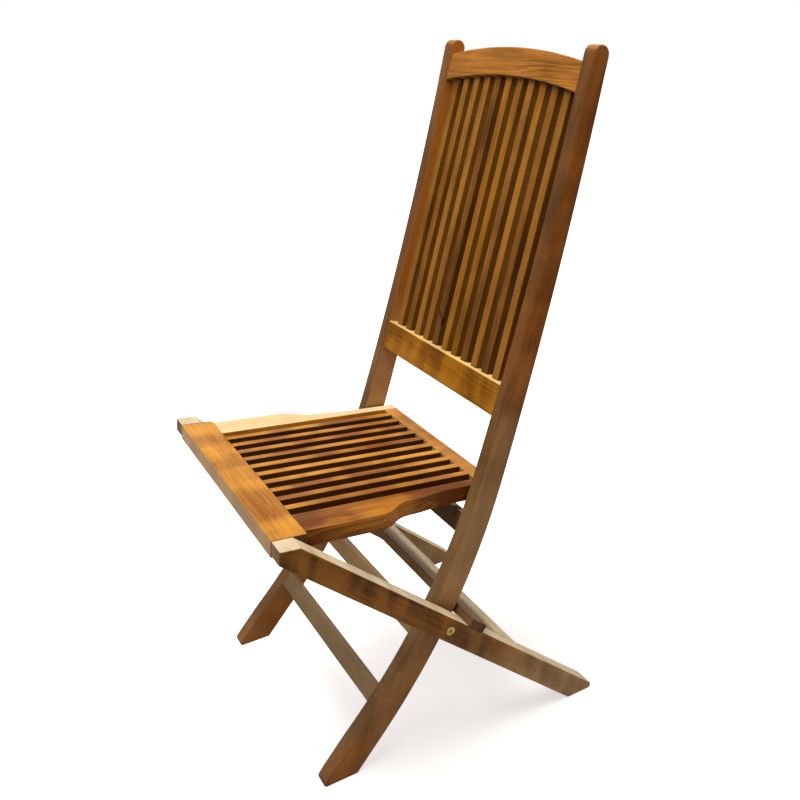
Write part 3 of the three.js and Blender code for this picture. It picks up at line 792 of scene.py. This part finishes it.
TEAK_FINISHES = (
    TeakFinish(
        Wood.UPRIGHT,
        from_screen(178, 104, 34),
        from_screen(90, 44, 6),
        ring_share=0.1,
        curl_share=0.3,
        wear_share=0.12,
        # The stile fronts take a dark colour: painted shade on the faces that look forward
        front_light_share=0.95,
        fronts=from_screen(82, 54, 24),
        top_light_share=0.2,
        damp_share=0.9,
        damp_start=-0.1,
        damp_full=0.34,
        damp_gone=0.66,
    ),
    TeakFinish(
        Wood.UNDER,
        from_screen(150, 104, 52),
        from_screen(56, 32, 10),
        ring_share=0.14,
        top_light_share=0.6,
        damp_share=0.3,
    ),
    TeakFinish(
        Wood.LEG,
        from_screen(172, 108, 40),
        from_screen(64, 32, 4),
        ring_share=0.1,
        curl_share=0.2,
        band_share=0.4,
        # The leg tops take painted light with sun bleach, and their forward faces a paler painted light
        lit_bleached_top=from_screen(255, 232, 190),
        top_light_share=0.92,
        front_light_share=0.4,
        fronts=from_screen(160, 132, 98),
        damp_share=1.0,
        damp_full=0.04,
        damp_gone=0.26,
    ),
    TeakFinish(
        Wood.CREST,
        from_screen(186, 118, 40),
        from_screen(104, 58, 14),
        ring_width=0.0026,
        ring_share=0.34,
        fibre_share=0.4,
        cloud_share=0.4,
        top_light_share=0.2,
    ),
    TeakFinish(
        Wood.LOWER_RAIL,
        from_screen(190, 124, 28),
        from_screen(104, 56, 2),
        lit_bleached_top=from_screen(255, 218, 134),
        ring_share=0.14,
        cloud_share=0.4,
        curl_share=0.5,
        curl_rate=28.0,
        top_light_share=1.0,
        shine=0.1,
    ),
    TeakFinish(
        Wood.BACK_SLAT,
        from_screen(168, 108, 24),
        from_screen(84, 44, 2),
        ring_share=0.14,
        wear_share=0.2,
        side_shade_share=0.3,
        hue_share=0.7,
        shine=0.1,
        shade_grime_share=0.95,
        shade_grime_reach=0.03,
        split_course=SLAT_SPLIT,
    ),
    TeakFinish(
        Wood.SEAT,
        from_screen(228, 154, 48),
        from_screen(132, 68, 6),
        ring_share=0.14,
        curl_share=0.5,
        curl_rate=20.0,
        cloud_share=0.36,
        front_light_share=0.6,
        side_shade_share=0.9,
        side_shade_depth=0.22,
        hue_share=0.2,
        shade_grime_share=0.95,
        shade_grime_reach=0.03,
        roughness=0.42,
        coat=0.1,
    ),
    TeakFinish(
        Wood.SEAT_SIDE,
        from_screen(236, 152, 46),
        from_screen(110, 54, 2),
        lit_bleached_top=from_screen(255, 226, 170),
        ring_share=0.2,
        curl_share=0.4,
        top_light_share=0.95,
        roughness=0.44,
        coat=0.04,
    ),
)
METAL_FINISHES = (
    MetalFinish(Metal.BRASS, from_screen(206, 184, 110), from_screen(120, 96, 44), 0.3),
    MetalFinish(Metal.STEEL, from_screen(170, 168, 162), from_screen(104, 96, 88), 0.36),
)


class Paintbox:
    """Holds the finished materials by name."""

    def __init__(self) -> None:
        """Builds every material once."""
        groups = GroupMaker()
        self.by_name = {finish.wood: finish.material(groups) for finish in TEAK_FINISHES}
        self.by_name |= {finish.metal: finish.material() for finish in METAL_FINISHES}

    def get(self, name: Wood | Metal) -> bpy.types.Material:
        """The material of a finish."""
        return self.by_name[name]


@dataclass(frozen=True)
class Lay:
    """How a board lies: the way its grain runs, and the way its face looks."""

    along: Vector
    face: Vector

    def frame(self) -> Matrix:
        """The turn from the chair's frame into grain space.

        Returns:
            The turn.
        """
        along = self.along.normalized()
        depth = (self.face - along * self.face.dot(along)).normalized()
        return Matrix((along, depth.cross(along), depth))


@dataclass(frozen=True)
class SlatRow:
    """A row of slats side by side, in the frame of the panel that holds it."""

    name: str
    nodes: tuple[str, ...]
    origin: Vector
    along: Vector
    pitch: float
    width: float
    thickness: float
    depth: float
    foot: float
    length: float
    arch_rise: float
    half_span: float
    tone_spread: float
    seed: int

    def panel_frame(self) -> Matrix:
        """The turn and shift from the panel's frame into the chair's: across, deep and along."""
        deep = self.along.cross(ACROSS)
        return Matrix.Translation(self.origin) @ Matrix((ACROSS, deep, self.along)).transposed().to_4x4()

    def sizes(self, wood: bpy.types.Material) -> dict[str, object]:
        """The slat tree's inputs by name.

        Args:
            wood: The material of the slats.

        Returns:
            Input name to value.
        """
        return {
            "Count": len(self.nodes),
            "Pitch": self.pitch,
            "Width": self.width,
            "Thickness": self.thickness,
            "Depth": self.depth,
            "Foot": self.foot,
            "Length": self.length,
            "Arch Rise": self.arch_rise,
            "Half Span": self.half_span,
            "Tone Spread": self.tone_spread,
            "Seed": self.seed,
            "Wood": wood,
        }


class SlatTree:
    """The geometry node tree that lays a row of slats along X, each one standing up Z."""

    corner: float = 0.001
    corner_points: int = 3
    path_points: int = 32
    unevenness: float = 0.00012
    uneven_waves: tuple[float, float, float] = (70.0, 70.0, 16.0)
    log_low: tuple[float, float, float] = (0.0, 0.03, 0.03)
    log_high: tuple[float, float, float] = (5.0, 0.09, 0.09)

    def __init__(self) -> None:
        """Builds the tree."""
        self.tree = bpy.data.node_groups.new("slat row", "GeometryNodeTree")
        self.sockets = {}
        labels = ("Count", "Pitch", "Width", "Thickness", "Corner", "Depth", "Foot", "Length")
        labels += ("Arch Rise", "Half Span", "Unevenness", "Tone Spread", "Seed", "Wood")
        kinds = dict.fromkeys(labels, "NodeSocketFloat")
        kinds |= {"Count": "NodeSocketInt", "Seed": "NodeSocketInt", "Wood": "NodeSocketMaterial"}
        for label, kind in kinds.items():
            self.sockets[label] = self.tree.interface.new_socket(label, in_out="INPUT", socket_type=kind)
        self.sockets["Corner"].default_value = self.corner
        self.sockets["Unevenness"].default_value = self.unevenness
        self.tree.interface.new_socket("Slats", in_out="OUTPUT", socket_type="NodeSocketGeometry")
        self.bench = NodeBench(self.tree)
        self.given = self.bench.add("NodeGroupInput").outputs
        slats = self.instances(self.row_points(), self.one_slat())
        slats = self.bench.add("GeometryNodeRealizeInstances", {"Geometry": slats}).outputs[0]
        slats = self.keep_grain(self.make_uneven(slats))
        dressed = {"Geometry": slats, "Material": self.given["Wood"]}
        painted = self.bench.add("GeometryNodeSetMaterial", dressed)
        self.bench.add("NodeGroupOutput", {"Slats": painted.outputs[0]})

    def row_points(self) -> bpy.types.NodeSocket:
        """The foot of each slat, with the slat's own tone and place in its log.

        Returns:
            The points.
        """
        bench, given = self.bench, self.given
        gaps = bench.math("SUBTRACT", given["Count"], 1.0)
        first = bench.math("MULTIPLY", bench.math("MULTIPLY", gaps, given["Pitch"]), -0.5)
        start = bench.joined(X=first, Y=given["Depth"], Z=given["Foot"])
        step = bench.joined(X=given["Pitch"])
        inputs = {"Count": given["Count"], "Start Location": start, "Offset": step}
        line = bench.add("GeometryNodeMeshLine", inputs)
        lowest = bench.math("MULTIPLY", given["Tone Spread"], -1.0)
        inputs = {2: lowest, 3: given["Tone Spread"], "Seed": given["Seed"]}
        tone = bench.add("FunctionNodeRandomValue", inputs, data_type="FLOAT")
        inputs = {0: self.log_low, 1: self.log_high, "Seed": given["Seed"]}
        shift = bench.add("FunctionNodeRandomValue", inputs, data_type="FLOAT_VECTOR")
        toned = self.store(line.outputs[0], "board_tone", "FLOAT", tone.outputs[1])
        return self.store(toned, "grain_shift", "FLOAT_VECTOR", shift.outputs[0])

    def store(self, geometry: object, name: str, kind: str, value: object) -> bpy.types.NodeSocket:
        """Stores a value at every point.

        Args:
            geometry: The geometry's socket.
            name: The attribute's name.
            kind: The attribute's data type.
            value: The value's socket.

        Returns:
            The geometry with the attribute.
        """
        inputs = {"Geometry": geometry, "Name": name, "Value": value}
        settings = {"data_type": kind, "domain": "POINT"}
        return self.bench.add("GeometryNodeStoreNamedAttribute", inputs, **settings).outputs[0]

    def one_slat(self) -> bpy.types.NodeSocket:
        """A slat one unit long with rounded arrises, standing on its foot.

        Returns:
            The slat's mesh.
        """
        bench, given = self.bench, self.given
        inputs = {"Width": given["Width"], "Height": given["Thickness"]}
        outline = bench.add("GeometryNodeCurvePrimitiveQuadrilateral", inputs).outputs[0]
        inputs = {"Curve": outline, "Radius": given["Corner"], "Count": self.corner_points}
        rounded = bench.add("GeometryNodeFilletCurve", inputs, mode="POLY")
        path = bench.add("GeometryNodeCurvePrimitiveLine", {"Start": Vector(), "End": UP})
        inputs = {"Curve": path.outputs[0], "Count": self.path_points}
        path = bench.add("GeometryNodeResampleCurve", inputs).outputs[0]
        inputs = {"Curve": path, "Profile Curve": rounded.outputs[0], "Fill Caps": True}
        return bench.add("GeometryNodeCurveToMesh", inputs).outputs[0]

    def instances(self, points: object, slat: object) -> bpy.types.NodeSocket:
        """A slat at every point, as long as the arch above it allows.

        Args:
            points: The feet of the slats.
            slat: The slat's mesh.

        Returns:
            The instances.
        """
        bench, given = self.bench, self.given
        place = bench.add("GeometryNodeInputPosition").outputs[0]
        across = bench.add("ShaderNodeSeparateXYZ", {0: place}).outputs["X"]
        share = bench.math("DIVIDE", across, given["Half Span"])
        fall = bench.math("SUBTRACT", 1.0, bench.math("MULTIPLY", share, share))
        length = bench.math("ADD", given["Length"], bench.math("MULTIPLY", fall, given["Arch Rise"]))
        stretch = bench.joined(X=1.0, Y=1.0, Z=length)
        inputs = {"Points": points, "Instance": slat, "Scale": stretch}
        return bench.add("GeometryNodeInstanceOnPoints", inputs).outputs[0]

    def make_uneven(self, slats: object) -> bpy.types.NodeSocket:
        """Moves the faces by a hair, as planing and sanding leave them.

        Args:
            slats: The slats.

        Returns:
            The moved slats.
        """
        bench = self.bench
        place = bench.add("GeometryNodeInputPosition").outputs[0]
        rippled = bench.vector("MULTIPLY", place, self.uneven_waves)
        wave = bench.centred(bench.noise(rippled, detail=1.0).outputs["Color"])
        wave = bench.vector("MULTIPLY", wave, (1.0, 1.0, 0.0))
        inputs = {"Geometry": slats, "Offset": bench.scaled(wave, self.given["Unevenness"])}
        return bench.add("GeometryNodeSetPosition", inputs).outputs[0]

    def keep_grain(self, slats: object) -> bpy.types.NodeSocket:
        """Stores the grain place of every point, with the grain along the slat.

        Args:
            slats: The slats.

        Returns:
            The slats with their grain.
        """
        bench = self.bench
        place = bench.add("GeometryNodeInputPosition").outputs[0]
        apart = bench.add("ShaderNodeSeparateXYZ", {0: place}).outputs
        turned = bench.joined(X=apart["Z"], Y=apart["X"], Z=apart["Y"])
        kind = "FLOAT_VECTOR"
        shift = bench.add("GeometryNodeInputNamedAttribute", {"Name": "grain_shift"}, data_type=kind)
        return self.store(slats, "grain_place", kind, bench.vector("ADD", turned, shift.outputs[0]))

    def lay(self, row: SlatRow, wood: bpy.types.Material) -> bpy.types.Object:
        """Lays one row of slats and turns it into a plain mesh.

        Args:
            row: The row.
            wood: Its material.

        Returns:
            The new object.
        """
        name = f"{row.name}_carrier"
        carrier = put_in_scene(name, bpy.data.meshes.new(name))
        modifier = carrier.modifiers.new("slat row", "NODES")
        modifier.node_group = self.tree
        for label, value in row.sizes(wood).items():
            modifier[self.sockets[label].identifier] = value
        graph = bpy.context.evaluated_depsgraph_get()
        mesh = bpy.data.meshes.new_from_object(carrier.evaluated_get(graph), depsgraph=graph)
        bpy.data.objects.remove(carrier)
        mesh.name = row.name
        mesh.transform(row.panel_frame())
        return put_in_scene(row.name, mesh)


@dataclass
class Joiner:
    """Turns the solids of wooden pieces into dressed boards, and lays the rows of slats."""

    paints: Paintbox
    slat_tree: SlatTree
    smooth_angle: float = math.radians(40)
    flat_angle: float = math.radians(0.05)
    weld: float = 0.000002
    log_length: float = 5.0
    pith_low: float = 0.035
    pith_high: float = 0.11
    steep: float = 0.4
    level: float = 0.74

    def pith_shift(self, chance: random.Random) -> Vector:
        """Where a board was sawn from its log.

        Args:
            chance: The board's own source of chance.

        Returns:
            The shift of its grain space.
        """
        turn = chance.uniform(0, 2 * math.pi)
        reach = chance.uniform(self.pith_low, self.pith_high)
        along = chance.uniform(0, self.log_length)
        return Vector((along, reach * math.cos(turn), reach * math.sin(turn)))

    def dress(
        self, node: str, body: str, wood: Wood, lay: Lay, tone: float = 0.0, pale: float = 1.0
    ) -> None:
        """Makes a dressed board that stands for one solid.

        Args:
            node: The solid's name.
            body: The body that it rides on.
            wood: Its finish.
            lay: How its grain lies.
            tone: How much darker it is than its finish, or lighter below zero.
            pale: How far the faces that look up take the painted top light and sun bleach, from 0 to 1.
        """
        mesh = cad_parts[node].data.copy()
        mesh.name = f"{node}_wood"
        shape = bmesh.new()
        shape.from_mesh(mesh)
        bmesh.ops.remove_doubles(shape, verts=shape.verts, dist=self.weld)
        bmesh.ops.dissolve_limit(shape, angle_limit=self.flat_angle, verts=shape.verts, edges=shape.edges)
        shape.to_mesh(mesh)
        shape.free()
        piece = put_in_scene(mesh.name, mesh)
        self.mark_grain(mesh, node, lay, tone)
        self.finish(piece, body, wood, pale)
        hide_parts(node)

    def lay_row(self, row: SlatRow, body: str, wood: Wood) -> None:
        """Makes a row of slats that stands for its solids.

        Args:
            row: The row.
            body: The body that it rides on.
            wood: Its finish.
        """
        piece = self.slat_tree.lay(row, self.paints.get(wood))
        self.finish(piece, body, wood)
        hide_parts(*row.nodes)

    def mark_grain(self, mesh: bpy.types.Mesh, seed: str, lay: Lay, tone: float) -> None:
        """Writes the grain place and the tone on a board's mesh.

        Args:
            mesh: The mesh.
            seed: The name that chance starts from.
            lay: How the grain lies.
            tone: The board's own tone.
        """
        chance = random.Random(seed)
        turn = lay.frame()
        shift = self.pith_shift(chance)
        middle = sum((vertex.co for vertex in mesh.vertices), Vector()) / len(mesh.vertices)
        spots = [turn @ (vertex.co - middle) + shift for vertex in mesh.vertices]
        places = mesh.attributes.new("grain_place", "FLOAT_VECTOR", "POINT")
        places.data.foreach_set("vector", [value for spot in spots for value in spot])
        tones = mesh.attributes.new("board_tone", "FLOAT", "POINT")
        tones.data.foreach_set("value", [tone] * len(spots))

    def mark_sides(self, mesh: bpy.types.Mesh, pale: float) -> None:
        """Writes how far each face looks up, forward and sideways, as the open chair stands: the masks for
        light and shade painted by the way a face looks.

        Args:
            mesh: The mesh.
            pale: How far the faces that look up take the painted top light and sun bleach, from 0 to 1.
        """
        looks = [polygon.normal for polygon in mesh.polygons]
        # Faces that look up take the painted top light with sun bleach; faces that look forward take the
        # painted front light and shade
        risen = [(look.z - self.steep) / (self.level - self.steep) for look in looks]
        ups = [pale * min(1.0, max(0.0, share)) for share in risen]
        fronts = [max(0.0, look.dot(FORWARD)) ** 2 for look in looks]
        # Faces that look sideways take the painted side shade
        side_shade_masks = [look.x**2 for look in looks]
        for name, values in (("top_light_mask", ups), ("front_light_mask", fronts), ("sideways_shade_mask", side_shade_masks)):
            sides = mesh.attributes.new(name, "FLOAT", "FACE")
            sides.data.foreach_set("value", values)

    def finish(self, piece: bpy.types.Object, body: str, wood: Wood, pale: float = 1.0) -> None:
        """Gives a board its material, its soft shading and its body.

        Args:
            piece: The board.
            body: The body that it rides on.
            wood: Its finish.
            pale: How far the faces that look up take the painted top light and sun bleach, from 0 to 1.
        """
        mesh = piece.data
        mesh.materials.clear()
        mesh.materials.append(self.paints.get(wood))
        for polygon in mesh.polygons:
            polygon.use_smooth = True
            polygon.material_index = 0
        self.mark_sides(mesh, pale)
        mesh.set_sharp_from_angle(angle=self.smooth_angle)
        weighted = piece.modifiers.new("even shading", "WEIGHTED_NORMAL")
        weighted.keep_sharp = True
        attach(piece, body)
        LOG.info("%s rides on %s, %d faces", piece.name, body, len(mesh.polygons))


def leaning(degrees: float) -> Vector:
    """The way up a board that leans back by an angle."""
    return Vector((0.0, math.sin(math.radians(degrees)), math.cos(math.radians(degrees))))


@dataclass
class BackFrame:
    """The bent uprights, the rails between them and the slatted back panel."""

    joiner: Joiner
    body: str = "back_frame"
    upright_lean: float = 19.0
    panel_lean: float = 17.0
    panel_foot: Vector = field(default_factory=lambda: Vector((0.0, 0.095466, 0.523948)))
    slat_count: int = 11
    slat_pitch: float = 0.03065
    slat_width: float = 0.016
    slat_thickness: float = 0.0125
    slat_setback: float = 0.007
    slat_foot: float = 0.042
    slat_length: float = 0.459
    arch_rise: float = 0.016
    half_opening: float = 0.1785

    def build(self) -> None:
        """Builds every wooden piece of the back frame."""
        upright = Lay(leaning(self.upright_lean), ACROSS)
        self.joiner.dress("stile_left", self.body, Wood.UPRIGHT, upright)
        # The far right stile is painted lighter than the near one, as painted light, which also makes its
        # painted fronts paler
        self.joiner.dress("stile_right", self.body, Wood.UPRIGHT, upright, tone=-0.6)
        flat = Lay(ACROSS, FORWARD)
        self.joiner.dress("crest_rail", self.body, Wood.CREST, flat)
        self.joiner.dress("lower_back_rail", self.body, Wood.LOWER_RAIL, flat)
        self.joiner.dress("front_stretcher", self.body, Wood.UNDER, flat, tone=0.2)
        self.joiner.dress("middle_rail", self.body, Wood.UNDER, flat)
        self.joiner.dress("under_seat_rail", self.body, Wood.UNDER, flat, tone=0.6)
        self.build_slats()

    def build_slats(self) -> None:
        """Builds the row of slats, whose tops follow the arch of the crest rail."""
        row = SlatRow(
            name="back_slats",
            nodes=tuple(f"back_slat_{index + 1:02d}" for index in range(self.slat_count)),
            origin=self.panel_foot,
            along=leaning(self.panel_lean),
            pitch=self.slat_pitch,
            width=self.slat_width,
            thickness=self.slat_thickness,
            depth=self.slat_setback + self.slat_thickness / 2,
            foot=self.slat_foot,
            length=self.slat_length,
            arch_rise=self.arch_rise,
            half_span=self.half_opening,
            tone_spread=0.3,
            seed=7,
        )
        self.joiner.lay_row(row, self.body, Wood.BACK_SLAT)


@dataclass
class LegFrame:
    """The two rear legs and the two bars that join them."""

    joiner: Joiner
    body: str = "leg_frame"
    leg_slope: float = 41.5

    def build(self) -> None:
        """Builds every wooden piece of the leg frame."""
        slope = math.radians(self.leg_slope)
        leg = Lay(Vector((0.0, math.cos(slope), -math.sin(slope))), ACROSS)
        self.joiner.dress("rear_leg_left", self.body, Wood.LEG, leg, tone=0.06)
        self.joiner.dress("rear_leg_right", self.body, Wood.LEG, leg)
        bar = Lay(ACROSS, UP)
        self.joiner.dress("stop_bar", self.body, Wood.UNDER, bar, tone=0.35, pale=0.1)
        self.joiner.dress("leg_cross_rail", self.body, Wood.LEG, bar, tone=-0.2)


@dataclass
class Seat:
    """The folding seat: front board, side rails, rear rail and slats."""

    joiner: Joiner
    body: str = "seat"
    tilt: float = 6.1
    hinge_row: Vector = field(default_factory=lambda: Vector((0.0, 0.070284, 0.403838)))
    slat_count: int = 10
    slat_pitch: float = 0.029136
    slat_width: float = 0.0125
    slat_thickness: float = 0.02
    slat_front: float = -0.298
    slat_rear: float = 0.008

    def build(self) -> None:
        """Builds every wooden piece of the seat."""
        slope = math.radians(self.tilt)
        back = Vector((0.0, math.cos(slope), -math.sin(slope)))
        flat = Lay(ACROSS, UP)
        deep = Lay(back, UP)
        self.joiner.dress("seat_front_board", self.body, Wood.SEAT, flat)
        self.joiner.dress("seat_rear_rail", self.body, Wood.SEAT, flat)
        # The near left rail is darker and takes no top light, as painted shade; the far right rail is
        # lighter with the full top colour, a painted highlight with sun bleach
        self.joiner.dress("seat_side_rail_left", self.body, Wood.SEAT_SIDE, deep, tone=0.5, pale=0.0)
        self.joiner.dress("seat_side_rail_right", self.body, Wood.SEAT_SIDE, deep, tone=-0.3)
        self.build_slats(back)

    def build_slats(self, back: Vector) -> None:
        """Builds the row of slats between the front board and the rear rail.

        Args:
            back: The way back along the seat.
        """
        row = SlatRow(
            name="seat_slats",
            nodes=tuple(f"seat_slat_{index + 1:02d}" for index in range(self.slat_count)),
            origin=self.hinge_row,
            along=back,
            pitch=self.slat_pitch,
            width=self.slat_width,
            thickness=self.slat_thickness,
            depth=0.0,
            foot=self.slat_front,
            length=self.slat_rear - self.slat_front,
            arch_rise=0.0,
            half_span=1.0,
            tone_spread=0.22,
            seed=3,
        )
        self.joiner.lay_row(row, self.body, Wood.SEAT)


@dataclass
class Hardware:
    """Brass pivots and steel pins: the solids themselves, in their metals."""

    paints: Paintbox
    brass: tuple[str, ...] = ("pivot_bolt", "pivot_insert", "pivot_washer")
    steel: tuple[str, ...] = ("seat_hinge_pin", "seat_rest_pin")

    def build(self) -> None:
        """Gives every metal solid its material."""
        for names, metal in ((self.brass, Metal.BRASS), (self.steel, Metal.STEEL)):
            for name in names:
                for side in ("left", "right"):
                    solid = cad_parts[f"{name}_{side}"]
                    solid.data.materials.clear()
                    solid.data.materials.append(self.paints.get(metal))
                    LOG.info("%s is %s", solid.name, metal.value)


# Each lamp's name, place, side and power in watts
LAMPS = (
    ("top lamp", Vector((0.15, -0.5, 3.0)), 1.8, 76.0),
    ("front lamp", Vector((-1.2, -2.6, 1.7)), 2.0, 4.0),
    ("rear lamp", Vector((0.9, 2.2, 2.0)), 1.5, 12.0),
)


@dataclass
class Studio:
    """The pale floor, the soft lamps, the white surround and the camera."""

    camera_place: Vector = field(default_factory=lambda: Vector((1.2344, -0.6069, 1.11353)))
    azimuth: float = 60.12
    elevation: float = 18.59
    roll: float = -1.38
    lens: float = 41.21
    sensor: float = 36.0
    sight: float = 100.0
    shift: tuple[float, float] = (-0.0433, -0.1059)
    floor_half: float = 12.0
    floor_glow: float = 0.66
    far_glow: float = 0.62
    shade_middle: Vector = field(default_factory=lambda: Vector((0.17, 0.05, 0.0)))
    shade_near: float = 0.16
    shade_far: float = 0.46
    mirrored_floor: float = 0.15
    floor_colour: Colour = (0.55, 0.53, 0.52)
    floor_tint: Colour = (1.0, 0.97, 0.955)
    world_light: float = 0.2
    mirrored_world: float = 0.8
    seat_middle: Vector = field(default_factory=lambda: Vector((0.0, 0.0, 0.45)))

    def build(self) -> None:
        """Builds the whole surround."""
        self.make_floor()
        self.make_world()
        for lamp in LAMPS:
            self.make_lamp(*lamp)
        self.make_camera()

    def make_floor(self) -> None:
        """A flat pale floor that keeps the chair's shadow, and that glows to the camera less round a spot
        by the chair, a painted soft shade there.
        """
        half = self.floor_half
        mesh = bpy.data.meshes.new("floor")
        corners = [(-half, -half, 0), (half, -half, 0), (half, half, 0), (-half, half, 0)]
        mesh.from_pydata(corners, [], [(0, 1, 2, 3)])
        floor = put_in_scene("floor", mesh)
        paint, bench, both = start_material("pale floor", "ShaderNodeAddShader")
        matt = bench.add("ShaderNodeBsdfDiffuse", {"Color": self.floor_colour})
        seen = bench.add("ShaderNodeLightPath")
        mirrored = bench.math("MULTIPLY", seen.outputs["Is Glossy Ray"], self.mirrored_floor)
        rays = bench.math("MAXIMUM", seen.outputs["Is Camera Ray"], mirrored)
        # The camera glow is weaker round shade_middle and full beyond shade_far: painted soft shade by the
        # chair's feet, white further out
        place = bench.spot()
        reach = bench.vector("LENGTH", bench.vector("SUBTRACT", place, tuple(self.shade_middle)))
        far = bench.spread(reach, self.shade_near, self.shade_far)
        level = bench.math("ADD", bench.math("MULTIPLY", far, self.far_glow), self.floor_glow)
        strength = bench.math("MULTIPLY", rays, level)
        glow = bench.add("ShaderNodeEmission", {"Color": self.floor_tint, "Strength": strength})
        bench.feed(both.inputs[0], matt.outputs[0])
        bench.feed(both.inputs[1], glow.outputs[0])
        mesh.materials.append(paint)

    def make_world(self) -> None:
        """A white surround to the camera and to metal, and a soft fill light to the rest."""
        world = bpy.data.worlds.new("studio")
        bpy.context.scene.world = world
        world.use_nodes = True
        world.node_tree.nodes.clear()
        bench = NodeBench(world.node_tree)
        path = bench.add("ShaderNodeLightPath")
        rays = bench.math("MAXIMUM", path.outputs["Is Camera Ray"], path.outputs["Is Transmission Ray"])
        mirrored = bench.math("MULTIPLY", path.outputs["Is Glossy Ray"], self.mirrored_world)
        strength = bench.math("MAXIMUM", bench.math("MAXIMUM", rays, mirrored), self.world_light)
        surround = bench.add("ShaderNodeBackground", {"Color": WHITE, "Strength": strength})
        bench.add("ShaderNodeOutputWorld", {"Surface": surround.outputs[0]})

    def make_lamp(self, name: str, place: Vector, size: float, power: float) -> None:
        """A square soft lamp that looks at the seat.

        Args:
            name: The lamp's name.
            place: Where it hangs.
            size: Its side.
            power: Its power in watts.
        """
        lamp = bpy.data.lights.new(name, "AREA")
        lamp.size = size
        lamp.energy = power
        holder = put_in_scene(name, lamp)
        holder.location = place
        aim = self.seat_middle - place
        holder.rotation_euler = aim.to_track_quat("-Z", "Y").to_euler()

    def make_camera(self) -> None:
        """The camera at the photograph's viewing angle."""
        side, rise, roll = (math.radians(value) for value in (self.azimuth, self.elevation, self.roll))
        look = Vector((-math.sin(side) * math.cos(rise), math.cos(side) * math.cos(rise), -math.sin(rise)))
        right = Vector((math.cos(side), math.sin(side), 0.0))
        up = right.cross(look)
        turned_right = right * math.cos(roll) + up * math.sin(roll)
        turned_up = up * math.cos(roll) - right * math.sin(roll)
        lens = bpy.data.cameras.new("photo camera")
        lens.lens = self.lens
        lens.sensor_width = self.sensor
        lens.sensor_fit = "HORIZONTAL"
        lens.shift_x, lens.shift_y = self.shift
        lens.clip_end = self.sight
        camera = put_in_scene("photo camera", lens)
        basis = Matrix((turned_right, turned_up, -look)).transposed().to_4x4()
        camera.matrix_world = Matrix.Translation(self.camera_place) @ basis
        bpy.context.scene.camera = camera


def main() -> None:
    """Builds the chair and its surround."""
    logging.basicConfig(level=logging.INFO, format="%(name)s: %(message)s")
    bpy.context.scene.view_settings.view_transform = "Standard"
    Studio().build()
    paints = Paintbox()
    joiner = Joiner(paints, SlatTree())
    BackFrame(joiner).build()
    LegFrame(joiner).build()
    Seat(joiner).build()
    Hardware(paints).build()


if __name__ == "__main__":
    main()
